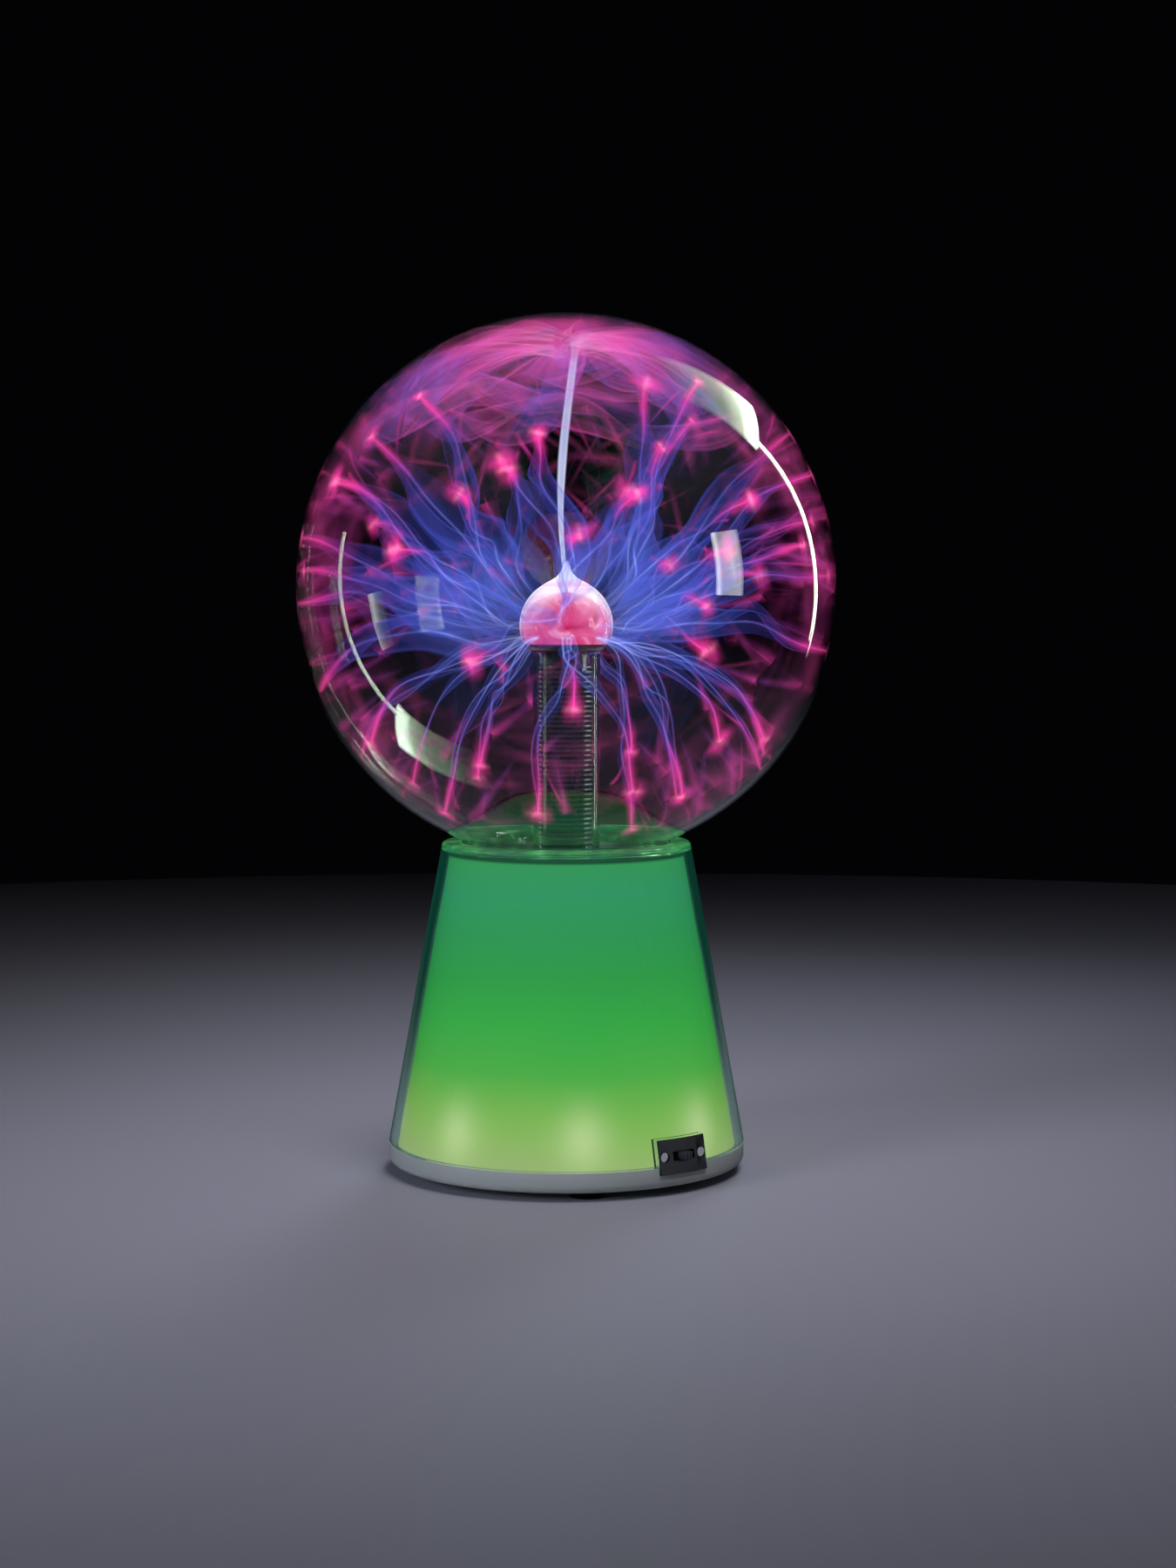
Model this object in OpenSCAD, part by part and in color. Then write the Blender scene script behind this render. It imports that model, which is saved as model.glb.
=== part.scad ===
// Plasma ball: a sealed glass globe with a central electrode, on a tapered base that lights up.
// Millimetres. The base stands on z = 0, +Z is up, and the front of the object faces -Y.
// Angles round the base are counted from the front, towards +X.

/* [Globe] */
// Outside diameter of the glass globe
globe_d = 203; // [200:1:206]
// Thickness of the globe's glass
globe_wall = 2.0; // [1.8:0.1:2.4]
// Depth of the globe's lowest point below the top of the base
globe_sink = 7; // [6.5:0.5:7.5]
// Outside diameter of the globe's neck
neck_d = 66; // [65:0.5:66]
// Outside diameter of the electrode bulb
bulb_d = 34; // [33:0.5:35]
// Depth of the bulb's centre below the globe's centre
bulb_drop = 15; // [13:0.5:17]
// Outside diameter of the glass stem
stem_d = 25; // [24.5:0.5:25.5]

/* [Base] */
// Height of the base's top above the table
base_h = 122; // [118:1:126]
// Diameter of the base at its top edge
base_top_d = 92; // [92:1:96]
// Diameter of the base at its bottom edge
base_bottom_d = 132; // [131:1:133]
// Thickness of the clear outer shell
shell_wall = 2.5; // [2.2:0.1:2.6]
// Thickness of the frosted diffuser inside the shell
diffuser_wall = 1.6; // [1.4:0.1:1.6]
// Height of the tray's rim, below the shell
lip_h = 7.5; // [7:0.5:7.5]
// Height of the rubber feet below the tray
foot_h = 3; // [2.5:0.5:3]

/* [Controls and light] */
// Number of coloured lamps round the base
led_count = 8; // [4:1:8]
// Place of the power switch, in degrees from the front
switch_angle = 40; // [35:1:41]
// Travel of the power switch to each side of its middle position
switch_travel = 2.5; // [2:0.1:2.5]

/* [Hidden] */
$fn = 72;
eps = 0.01;       // overlap of a cutting tool past the face that it cuts
running = 0.05;   // radial clearance of a screw in its hole

// Heights
tray_z = foot_h;                          // underside of the tray
tray_floor = 2.5;
floor_z = tray_z + tray_floor;            // upper side of the tray's floor
shell_z = tray_z + lip_h;                 // lower edge of the shell and the diffuser
globe_z = base_h - globe_sink + globe_d / 2;
bulb_z = globe_z - bulb_drop;
neck_plate_t = 2.5;
neck_z = base_h - 32;                     // lower end of the neck, where the plate closes it
plate_z = neck_z - neck_plate_t;
shelf_z = plate_z - 3.5;                  // top of the reflector's shelf, under the socket's ledge
flange_z = base_h - 5;                    // top of the socket's flange, under the diffuser's top
board_z = floor_z + 6.5;                  // underside of both circuit boards
board_t = 1.6;
parts_z = board_z + board_t;              // upper side of both circuit boards

// Radii
top_hole_r = 39;                          // opening in the top of the shell and the diffuser
light_gap = 1;                            // air between the shell and the diffuser
neck_r = neck_d / 2;
stem_r = stem_d / 2;
glass_t = 1.5;                            // wall of the stem
bulb_wall = 1.2;
bulb_in_r = bulb_d / 2 - bulb_wall;
led_ring_r = 49;
led_ring_w = 9;
led_first = 6;                            // angle of the first lamp
reflector_r = 44;                         // at the reflector's lower edge
reflector_top_r = 38.5;
reflector_t = 1.6;
boss_r = 37;                              // circle of the screws that hold the tray
foot_ring_r = 54;
foot_first = 8;                           // angle of the front foot
foot_r = 6.5;
foot_in = 0.6;                            // depth of the foot's seat in the tray

// Circuit boards and leads
board_w = 56;
board_d = 50;
board_hole_x = 23;
board_hole_y = 20;
coil_x = -20;
coil_y = 4;
coil_r = 9.9;
lead_d = 2;
under_z = floor_z + 1.8;                  // height of the leads under the reflector's edge
end_z = board_z - lead_d / 2 - 0.2;       // height of the leads' outer ends, just under the lamps' board

// Switch and rear plate
plate_h0 = tray_z + 5;                    // lower edge of both wall plates
plate_h1 = plate_h0 + 12.3;               // upper edge of both wall plates
plate_back = 59.5;                        // distance of a wall plate's flat back from the axis
switch_back = 54.4;                       // distance of the switch's and the inlet's inner ends from the axis
plate_proud = 0.4;                        // how far a wall plate stands out of the shell
switch_w = 22;
rear_w = 28;
rear_angle = 180;
slider_z = plate_h0 + 6.2;
slot_half = 2.2 + switch_travel + 0.3;
switch_screw_x = 8.6;
switch_seat = 64;                         // distance of the screws' seats from the axis
jack_x = -6;
mic_x = 7;
mic_l = 3.9;
jack_z = plate_h0 + 6;
mic_z = plate_h0 + 4;

// Radius of the shell's outside at height z
function shell_r(z) =
    base_bottom_d / 2 - (z - shell_z) * (base_bottom_d - base_top_d) / 2 / (base_h - shell_z);
// Points of an arc round [x, y], from angle a0 to a1 in n steps
function arc(x, y, r, a0, a1, n) =
    [for (i = [0:n]) [x + r * cos(a0 + (a1 - a0) * i / n), y + r * sin(a0 + (a1 - a0) * i / n)]];
// A point on the circle of radius r, at an angle counted from the front
function at(r, angle, z = 0) = [r * sin(angle), -r * cos(angle), z];

function unit(v) = v / norm(v);
// A route with each corner replaced by a curve that starts and ends at most r from it
function rounded(route, r) = [
    route[0],
    for (i = [1:len(route) - 2]) let (
        p = route[i],
        back = route[i - 1] - p,
        on = route[i + 1] - p,
        a = p + unit(back) * min(r, 0.45 * norm(back)),
        b = p + unit(on) * min(r, 0.45 * norm(on))
    ) for (t = [0:1 / 3:1.01]) a * pow(1 - t, 2) + 2 * p * t * (1 - t) + b * pow(t, 2),
    route[len(route) - 1]
];
// A direction across the route, carried along it so that it doesn't twist
function carried(dirs, side, i = 0) = i == len(dirs) ? [] :
    let (s = unit(side - (side * dirs[i]) * dirs[i])) concat([s], carried(dirs, s, i + 1));

// A straight tube between two heights
module tube(z0, z1, r_out, r_in) {
    difference() {
        translate([0, 0, z0]) cylinder(h = z1 - z0, r = r_out);
        translate([0, 0, z0 - 1]) cylinder(h = z1 - z0 + 2, r = r_in);
    }
}

// A block given by its lowest and highest corners
module block(low, high) {
    translate(low) cube(high - low);
}

// Turns what is modelled at the front, towards -Y, to its angle round the base
module round_to(angle) {
    rotate([0, 0, angle]) children();
}

// A screw with a pan head, pointing up from the seat of its head
module screw_up(head_r, head_h, shank_r, shank_l) {
    translate([0, 0, -head_h]) cylinder(h = head_h, r = head_r);
    translate([0, 0, -eps]) cylinder(h = shank_l + eps, r = shank_r);
}

// A lead along a route of points, with its corners rounded
module lead(route, d) {
    sides = 8;
    path = rounded(route, 2 * d);
    last = len(path) - 1;
    dirs = [for (i = [0:last]) unit(path[min(i + 1, last)] - path[max(i - 1, 0)])];
    across = carried(dirs, cross(dirs[0], [0.2, 0.3, 1]));
    rings = [
        for (i = [0:last]) for (k = [0:sides - 1]) let (a = k * 360 / sides)
            path[i] + d / 2 * (cos(a) * across[i] + sin(a) * cross(dirs[i], across[i]))
    ];
    walls = [
        for (i = [0:last - 1]) for (k = [0:sides - 1])
            let (a = i * sides + k, b = i * sides + (k + 1) % sides)
                each [[a, a + sides, b + sides], [a, b + sides, b]]
    ];
    ends = [[for (k = [0:sides - 1]) k], [for (k = [sides - 1:-1:0]) last * sides + k]];
    polyhedron(points = rings, faces = concat(walls, ends));
}

// Places something at each of the main board's four screws
module at_board_holes(z) {
    for (x = [-board_hole_x, board_hole_x], y = [-board_hole_y, board_hole_y])
        translate([x, y, z]) children();
}

// Slot for a wall plate, cut through the shell, the diffuser and the tray's walls
module plate_slot(angle, width) {
    round_to(angle) block([-width / 2, -80, plate_h0], [width / 2, -plate_back + 4, plate_h1]);
}

// Blank of a wall plate: curved and sloped like the shell outside, flat behind
module plate_blank(width) {
    intersection() {
        translate([0, 0, plate_h0])
            cylinder(
                h = plate_h1 - plate_h0 - 0.1,
                r1 = shell_r(plate_h0) + plate_proud,
                r2 = shell_r(plate_h1 - 0.1) + plate_proud
            );
        block([-width / 2 + 0.1, -80, plate_h0 - 1], [width / 2 - 0.1, -plate_back, plate_h1 + 1]);
    }
}

// ---- Globe ----

// The globe's round part, open below where the neck is fused to it
module globe_glass() {
    color([0.85, 0.9, 1, 0.25])
        difference() {
            translate([0, 0, globe_z]) sphere(d = globe_d, $fn = 120);
            translate([0, 0, globe_z]) sphere(d = globe_d - 2 * globe_wall, $fn = 120);
            translate([0, 0, neck_z]) cylinder(h = globe_d / 2, r = neck_r - globe_wall);
        }
}

// The globe's neck, up to the underside of the round part
module globe_neck() {
    color([0.85, 0.9, 1, 0.25])
        difference() {
            tube(neck_z, base_h + 5, neck_r, neck_r - globe_wall);
            translate([0, 0, globe_z]) sphere(d = globe_d, $fn = 120);
        }
}

// Glass disc that closes the neck, with the seat of the stem and the pumping hole
module neck_plate() {
    color([0.8, 0.9, 0.9, 0.4])
        difference() {
            tube(plate_z, neck_z, neck_r, stem_r);
            translate([0, 20, plate_z - 1]) cylinder(h = neck_plate_t + 2, r = 1.5);
        }
}

// Sealed end of the tube through which the globe was pumped out and filled
module pump_tip() {
    tip_l = 11;
    color([0.8, 0.9, 0.9, 0.4])
        translate([0, 20, plate_z])
            difference() {
                union() {
                    translate([0, 0, -tip_l]) cylinder(h = tip_l, r = 3);
                    translate([0, 0, -tip_l - 4]) cylinder(h = 4, r1 = 0.8, r2 = 3);
                }
                translate([0, 0, -tip_l]) cylinder(h = tip_l + 1, r = 1.5);
            }
}

module stem_tube() {
    color([0.8, 0.9, 0.9, 0.4])
        difference() {
            tube(plate_z, bulb_z, stem_r, stem_r - glass_t);
            translate([0, 0, bulb_z]) sphere(r = bulb_in_r);
        }
}

module electrode_bulb() {
    color([1, 0.45, 0.6, 0.6])
        translate([0, 0, bulb_z])
            difference() {
                sphere(d = bulb_d);
                sphere(r = bulb_in_r);
                translate([0, 0, -bulb_d]) cylinder(h = bulb_d - 5, r = stem_r);
            }
}

// Conductor in the foot of the bulb, on a stub that takes the high-voltage lead
module electrode_core() {
    color([0.25, 0.25, 0.27]) {
        intersection() {
            translate([0, 0, bulb_z]) sphere(r = bulb_in_r - 0.1);
            translate([0, 0, bulb_z - 9.3]) cylinder(h = 4, r = bulb_d / 2);
        }
        translate([0, 0, bulb_z - 20]) cylinder(h = 10.7 + eps, r = 7.9);
    }
}

// Ribbed insulating sleeve inside the stem
module stem_sleeve() {
    rib = 1.8;
    z0 = neck_z + 2;
    ribs = floor((bulb_z - 13.5 - z0) / rib);
    outside = [for (i = [0:ribs - 1]) each [[9.4, z0 + i * rib], [10.2, z0 + (i + 0.5) * rib]]];
    color([0.06, 0.06, 0.07])
        rotate_extrude()
            polygon(concat([[8.2, z0]], outside, [[9.4, z0 + ribs * rib], [8.2, z0 + ribs * rib]]));
}

// Rubber plug in the foot of the stem, which holds the sleeve and guides the lead
module stem_plug() {
    color([0.12, 0.12, 0.12])
        difference() {
            union() {
                translate([0, 0, plate_z - 8])
                    cylinder(h = neck_z - plate_z + 10, r = stem_r - glass_t);
                translate([0, 0, plate_z - 3.4]) cylinder(h = 3.4, r = 15);
            }
            translate([0, 0, plate_z - 9]) cylinder(h = 30, r = 1.6);
        }
}

// Soft ring between the globe and the top of the base
module neck_gasket() {
    color([0.75, 0.85, 0.8])
        difference() {
            tube(flange_z, base_h + 3, top_hole_r - 0.2, neck_r + 0.2);
            translate([0, 0, globe_z]) sphere(d = globe_d + 0.1, $fn = 120);
        }
}

// Cup that grips the neck and clamps the top of the base under the globe
module neck_socket() {
    wall_r = neck_r + 3;
    color([0.93, 0.93, 0.9])
        difference() {
            union() {
                tube(shelf_z, plate_z, wall_r, 28);
                tube(plate_z - eps, flange_z, wall_r, neck_r + 0.3);
                tube(flange_z - 2.5, flange_z, top_hole_r + 1, wall_r - 1);
            }
            for (a = [45:90:315])
                translate(at(32, a, shelf_z - 1)) cylinder(h = 4.5, r = 1.25 + running);
        }
}

module socket_screws() {
    color([0.7, 0.7, 0.72])
        for (a = [45:90:315])
            translate(at(32, a, shelf_z - 2.5)) screw_up(2.6, 1.8, 1.25, 5.6);
}

// High-voltage lead, from the coil up through the stem to the electrode
module hv_lead() {
    color([0.75, 0.1, 0.08])
        lead(
            [
                [coil_x, coil_y - coil_r, 32], [coil_x, -11, 32], [-19, -13, 40], [-14, -10, 52],
                [-6, -4, 62], [0, 0, 71], [0, 0, bulb_z - 20]
            ],
            3
        );
}

// ---- Base ----

// Clear outer shell with a flat top, open for the globe's neck
module outer_shell() {
    corner = 1.6;
    in_z = base_h - shell_wall;
    color([0.75, 0.95, 0.85, 0.35])
        difference() {
            rotate_extrude()
                polygon(concat(
                    [[shell_r(shell_z) - shell_wall, shell_z], [shell_r(shell_z), shell_z]],
                    arc(shell_r(base_h) - corner, base_h - corner, corner, 10, 90, 6),
                    [[top_hole_r, base_h], [top_hole_r, in_z], [shell_r(in_z) - shell_wall, in_z]]
                ));
            plate_slot(switch_angle, switch_w);
            plate_slot(rear_angle, rear_w);
        }
}

// Frosted inner wall that spreads the light
module diffuser() {
    in = shell_wall + light_gap;
    top_z = base_h - in;
    color([0.35, 0.8, 0.35])
        difference() {
            rotate_extrude()
                polygon([
                    [shell_r(shell_z) - in - diffuser_wall, shell_z],
                    [shell_r(shell_z) - in, shell_z],
                    [shell_r(top_z) - in, top_z],
                    [top_hole_r, top_z],
                    [top_hole_r, flange_z],
                    [shell_r(flange_z) - in - diffuser_wall, flange_z]
                ]);
            plate_slot(switch_angle, switch_w);
            plate_slot(rear_angle, rear_w);
        }
}

// White cone that carries the neck socket and hides the electronics
module reflector() {
    z0 = floor_z + 3.5;
    h = shelf_z - 2.5 - z0;
    color([0.95, 0.95, 0.93])
        difference() {
            union() {
                translate([0, 0, z0]) difference() {
                    cylinder(h = h + eps, r1 = reflector_r, r2 = reflector_top_r);
                    translate([0, 0, -eps]) cylinder(
                        h = h + 1, r1 = reflector_r - reflector_t, r2 = reflector_top_r - reflector_t
                    );
                }
                tube(shelf_z - 2.5, shelf_z, reflector_top_r, 24);
                for (a = [0:90:270])
                    translate(at(boss_r, a, floor_z)) cylinder(h = 16, r = 4);
                for (a = [0:90:270])
                    round_to(a)
                        block([-0.8, -reflector_r + 0.8, z0], [0.8, -boss_r - 2, z0 + 12]);
            }
            for (a = [0:90:270])
                translate(at(boss_r, a, floor_z - 1)) cylinder(h = 12, r = 1.5 + running);
            for (a = [45:90:315])
                translate(at(32, a, shelf_z - 4)) cylinder(h = 6, r = 1.6);
        }
}

// Outer wall of the tray as a closed outline: the lip below the shell
function lip_outline() = let (r = shell_r(shell_z) - 0.1, soft = 2.6)
    concat(
        [[r - 2.6, tray_z], [r - soft, tray_z]],
        arc(r - soft, tray_z + soft, soft, -80, 0, 6),
        [[r, shell_z], [r - 2.6, shell_z]]
    );

module bottom_tray() {
    inner_r = shell_r(shell_z) - shell_wall - light_gap;
    color([0.88, 0.88, 0.86])
        difference() {
            union() {
                translate([0, 0, tray_z]) cylinder(h = tray_floor, r = shell_r(shell_z) - 2.6);
                rotate_extrude() polygon(lip_outline());
                tube(floor_z - eps, shell_z, inner_r, inner_r - 2.2);
                at_board_holes(floor_z - eps) cylinder(h = board_z - floor_z + eps, r = 3);
                for (a = [28.5:90:298.5])
                    translate(at(led_ring_r, a, floor_z - eps))
                        cylinder(h = board_z - floor_z + eps, r = 2.5);
            }
            at_board_holes(floor_z + 1) cylinder(h = 20, r = 1.2 + running);
            for (a = [0:90:270])
                translate(at(boss_r, a, 0)) cylinder(h = 20, r = 1.7);
            for (i = [0:2])
                translate(at(foot_ring_r, foot_first + 120 * i))
                    cylinder(h = tray_z + foot_in, r = foot_r);
            for (x = [-12:4:12])
                block([x - 0.9, -11, 0], [x + 0.9, 11, floor_z + 1]);
            plate_slot(switch_angle, switch_w);
            plate_slot(rear_angle, rear_w);
        }
}

module tray_screws() {
    color([0.7, 0.7, 0.72])
        for (a = [0:90:270])
            translate(at(boss_r, a, tray_z)) screw_up(2.9, 1.8, 1.5, 11);
}

module foot(i) {
    color([0.1, 0.1, 0.1])
        translate(at(foot_ring_r, foot_first + 120 * i)) {
            cylinder(h = 0.8, r1 = foot_r - 0.7, r2 = foot_r);
            translate([0, 0, 0.8 - eps]) cylinder(h = tray_z + foot_in - 0.8 + eps, r = foot_r);
        }
}
module foot_front() { foot(0); }
module foot_rear_right() { foot(1); }
module foot_rear_left() { foot(2); }

// ---- Lighting ----

module led_board() {
    color([0.93, 0.93, 0.9])
        tube(board_z, parts_z, led_ring_r + led_ring_w / 2, led_ring_r - led_ring_w / 2);
}

module led_lamps() {
    color([0.97, 0.97, 0.9])
        for (i = [0:led_count - 1])
            round_to(led_first + i * 360 / led_count)
                translate([0, -led_ring_r, parts_z]) {
                    block([-2.5, -2.5, 0], [2.5, 2.5, 1.2]);
                    translate([0, 0, 1.2 - eps]) cylinder(h = 0.4, r = 2.1);
                }
}

module led_lead() {
    color([0.85, 0.85, 0.82])
        lead(
            [
                [-27, -9, parts_z + 2], [-31, -9, parts_z + 2], [-37, -10, under_z],
                [-46, -15, under_z], [-46, -15, board_z]
            ],
            lead_d
        );
}

// ---- Electronics ----

module main_board() {
    color([0.1, 0.4, 0.2])
        difference() {
            block([-board_w / 2, -board_d / 2, board_z], [board_w / 2, board_d / 2, parts_z]);
            at_board_holes(board_z - 1) cylinder(h = board_t + 2, r = 1.6);
        }
}

module board_screws() {
    color([0.7, 0.7, 0.72])
        at_board_holes(parts_z) mirror([0, 0, 1]) screw_up(2.4, 1.6, 1.2, 6.5);
}

// Ferrite frame of the flyback transformer
module flyback_core() {
    color([0.16, 0.16, 0.17])
        difference() {
            block([coil_x - 3, coil_y - 4, parts_z], [coil_x + 23, coil_y + 4, parts_z + 31]);
            block([coil_x + 3, coil_y - 5, parts_z + 6], [coil_x + 17, coil_y + 5, parts_z + 25]);
        }
}

// Potted winding on one leg of the frame
module flyback_coil() {
    color([0.45, 0.12, 0.08])
        difference() {
            translate([coil_x, coil_y, parts_z + 6.3]) cylinder(h = 18.4, r = coil_r);
            block([coil_x - 3.1, coil_y - 4.1, parts_z], [coil_x + 3.1, coil_y + 4.1, parts_z + 40]);
        }
}

module drive_transistor() {
    color([0.08, 0.08, 0.08]) {
        block([13, 15.5, parts_z + 4], [23, 20, parts_z + 13]);
        for (x = [15.5, 18, 20.5])
            block([x - 0.4, 17.3, parts_z], [x + 0.4, 17.9, parts_z + 4 + eps]);
    }
}

// Finned aluminium behind the transistor
module heat_sink() {
    color([0.65, 0.66, 0.68]) {
        block([8, 20, parts_z], [18.6, 21.6, parts_z + 24]);
        block([18.6 - eps, 20, parts_z + 3.6], [28, 21.6, parts_z + 24]);
        for (x = [9:3.5:26.5])
            block([x, 21.6 - eps, parts_z + 3.6], [x + 1.2, 25.5, parts_z + 24]);
    }
}

module filter_capacitor() {
    color([0.1, 0.12, 0.25])
        translate([17, -13, parts_z]) {
            cylinder(h = 19, r = 6.3);
            translate([0, 0, 19 - eps]) cylinder(h = 0.8, r1 = 6.3, r2 = 5.6);
        }
}

module film_capacitor() {
    color([0.75, 0.25, 0.1]) block([-6, -21, parts_z], [7, -15, parts_z + 10]);
}

module control_chip() {
    color([0.07, 0.07, 0.07]) {
        block([8, -3, parts_z + 0.8], [17.5, 3.4, parts_z + 4]);
        for (x = [8.9:2.54:17], y = [-4, 3.39])
            block([x - 0.3, y, parts_z], [x + 0.3, y + 1.01, parts_z + 2.4]);
    }
}

module resistors() {
    body_l = 6.4;
    leg_r = 0.35;
    up = 1.6;
    color([0.75, 0.65, 0.45])
        for (y = [6.5, 9.5, 12.5])
            translate([7, y, parts_z]) {
                translate([0, 0, up]) rotate([0, 90, 0]) cylinder(h = body_l, r = 1.2);
                translate([-1.5, 0, up]) rotate([0, 90, 0]) cylinder(h = body_l + 3, r = leg_r);
                for (x = [-1.5, body_l + 1.5])
                    translate([x, 0, 0]) cylinder(h = up + leg_r, r = leg_r + 0.05);
            }
}

// White sockets at the board's edges, for the leads
module board_sockets() {
    color([0.92, 0.92, 0.88]) {
        block([-27, -12, parts_z], [-21, -6, parts_z + 5]);
        block([24, -6, parts_z], [28, 2, parts_z + 5]);
        block([-12, 18, parts_z], [-4, 24, parts_z + 5]);
        block([-1, 18, parts_z], [5, 24, parts_z + 5]);
    }
}

// ---- Power switch ----

module switch_bezel() {
    color([0.06, 0.06, 0.06])
        round_to(switch_angle)
            difference() {
                plate_blank(switch_w);
                block([-slot_half, -80, slider_z - 1.6], [slot_half, -50, slider_z + 1.6]);
                for (x = [-switch_screw_x, switch_screw_x])
                    translate([x, 0, slider_z]) rotate([90, 0, 0]) {
                        cylinder(h = 80, r = 1 + running);
                        translate([0, 0, switch_seat]) cylinder(h = 10, r = 1.9);
                    }
            }
}

// Metal can with the contacts; the slider runs in its front
module switch_body() {
    color([0.6, 0.6, 0.62])
        round_to(switch_angle)
            difference() {
                block([-10.4, -plate_back, slider_z - 4.5], [10.4, -switch_back, slider_z + 4.5]);
                block(
                    [-4.3 - switch_travel, -60, slider_z - 2.4],
                    [4.3 + switch_travel, -57.4, slider_z + 2.4]
                );
                for (x = [-switch_screw_x, switch_screw_x])
                    translate([x, 0, slider_z]) rotate([90, 0, 0]) cylinder(h = 80, r = 1 + running);
            }
}

// Knob of the switch, with three grip ridges
module switch_slider() {
    tip = shell_r(slider_z) + 2.4;
    color([0.1, 0.1, 0.1])
        round_to(switch_angle) {
            block([-4, -plate_back + 0.3, slider_z - 2.1], [4, -57.7, slider_z + 2.1]);
            block([-2.2, -tip, slider_z - 1.3], [2.2, -plate_back + 0.4, slider_z + 1.3]);
            for (x = [-1.4, 0, 1.4])
                block([x - 0.3, -tip - 0.4, slider_z - 1.3], [x + 0.3, -tip + 0.1, slider_z + 1.3]);
        }
}

module switch_screws() {
    color([0.7, 0.7, 0.72])
        round_to(switch_angle)
            for (x = [-switch_screw_x, switch_screw_x])
                translate([x, -switch_seat, slider_z]) rotate([-90, 0, 0]) screw_up(1.7, 0.9, 1, 8);
}

module switch_lead() {
    color([0.15, 0.15, 0.16])
        lead(
            [
                [28, -2, parts_z + 2.5], [31.5, -2, parts_z + 2.5], [34, -10, under_z], [33, -28, under_z],
                at(46, switch_angle, under_z), at(50, switch_angle, end_z),
                at(switch_back, switch_angle, end_z)
            ],
            lead_d
        );
}

// ---- Rear plate: power inlet and sound port ----

module rear_plate() {
    color([0.06, 0.06, 0.06])
        round_to(rear_angle)
            difference() {
                plate_blank(rear_w);
                translate([jack_x, -50, jack_z]) rotate([90, 0, 0]) cylinder(h = 30, r = 4);
                for (a = [90:120:330])
                    translate([mic_x + 1.5 * cos(a), -50, mic_z + 1.5 * sin(a)])
                        rotate([90, 0, 0]) cylinder(h = 30, r = 0.6);
            }
}

module power_jack() {
    color([0.09, 0.09, 0.09])
        round_to(rear_angle)
            difference() {
                union() {
                    translate([jack_x, -plate_back, jack_z]) rotate([90, 0, 0]) cylinder(h = 6.4, r = 3.9);
                    block(
                        [jack_x - 4.5, -plate_back, jack_z - 4.5],
                        [jack_x + 4.5, -switch_back, jack_z + 4.5]
                    );
                }
                translate([jack_x, -56, jack_z]) rotate([90, 0, 0]) cylinder(h = 20, r = 2.8);
            }
}

module jack_pin() {
    color([0.8, 0.7, 0.4])
        round_to(rear_angle)
            translate([jack_x, -56, jack_z]) rotate([90, 0, 0]) cylinder(h = 8.5, r = 1.05);
}

module jack_lead() {
    color([0.15, 0.15, 0.16])
        lead(
            [
                [2, 24, parts_z + 2.5], [2, 28, parts_z + 2.5], [7, 33, under_z], [7, 45, under_z],
                [-jack_x, 50, end_z], [-jack_x, switch_back, end_z]
            ],
            lead_d
        );
}

module microphone() {
    color([0.6, 0.6, 0.6])
        round_to(rear_angle)
            translate([mic_x, -plate_back + mic_l, mic_z]) rotate([90, 0, 0]) cylinder(h = mic_l, r = 3);
}

module microphone_lead() {
    color([0.15, 0.15, 0.16])
        lead(
            [
                [-8, 24, parts_z + 2.5], [-8, 28, parts_z + 2.5], [-8, 33, under_z], [-8, 45, under_z],
                [-mic_x, 50, end_z], [-mic_x, plate_back - mic_l, end_z]
            ],
            lead_d
        );
}

globe_glass();
globe_neck();
electrode_bulb();
electrode_core();
stem_tube();
stem_sleeve();
stem_plug();
neck_plate();
pump_tip();
neck_gasket();
neck_socket();
socket_screws();
hv_lead();
outer_shell();
diffuser();
reflector();
bottom_tray();
tray_screws();
foot_front();
foot_rear_right();
foot_rear_left();
led_board();
led_lamps();
led_lead();
main_board();
board_screws();
flyback_core();
flyback_coil();
drive_transistor();
heat_sink();
filter_capacitor();
film_capacitor();
control_chip();
resistors();
board_sockets();
switch_bezel();
switch_body();
switch_slider();
switch_screws();
switch_lead();
rear_plate();
power_jack();
jack_pin();
jack_lead();
microphone();
microphone_lead();
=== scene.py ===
import bpy
import math
import random
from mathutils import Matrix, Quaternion, Vector


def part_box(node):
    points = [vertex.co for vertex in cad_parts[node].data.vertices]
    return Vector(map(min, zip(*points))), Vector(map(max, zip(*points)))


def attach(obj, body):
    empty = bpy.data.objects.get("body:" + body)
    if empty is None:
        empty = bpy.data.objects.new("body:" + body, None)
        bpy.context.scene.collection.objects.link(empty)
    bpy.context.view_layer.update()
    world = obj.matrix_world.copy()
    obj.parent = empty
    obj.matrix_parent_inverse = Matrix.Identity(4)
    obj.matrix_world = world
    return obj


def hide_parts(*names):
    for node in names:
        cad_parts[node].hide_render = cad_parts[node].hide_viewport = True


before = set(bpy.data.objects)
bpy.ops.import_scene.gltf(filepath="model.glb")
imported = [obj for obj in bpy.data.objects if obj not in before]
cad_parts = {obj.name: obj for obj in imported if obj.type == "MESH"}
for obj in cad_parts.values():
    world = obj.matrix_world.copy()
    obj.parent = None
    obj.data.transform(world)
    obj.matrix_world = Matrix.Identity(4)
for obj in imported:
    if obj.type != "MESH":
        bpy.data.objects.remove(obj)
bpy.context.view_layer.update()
scene = bpy.context.scene
mm = 0.001
up = Vector((0, 0, 1))
print("frame loaded:", len(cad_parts), "nodes")


# ---- small helpers ----

def linear(hexText):  # sRGB hex to linear colour
    parts = [int(hexText[i:i + 2], 16) / 255 for i in (1, 3, 5)]
    return [c / 12.92 if c <= 0.04045 else ((c + 0.055) / 1.055) ** 2.4 for c in parts] + [1.0]


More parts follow.
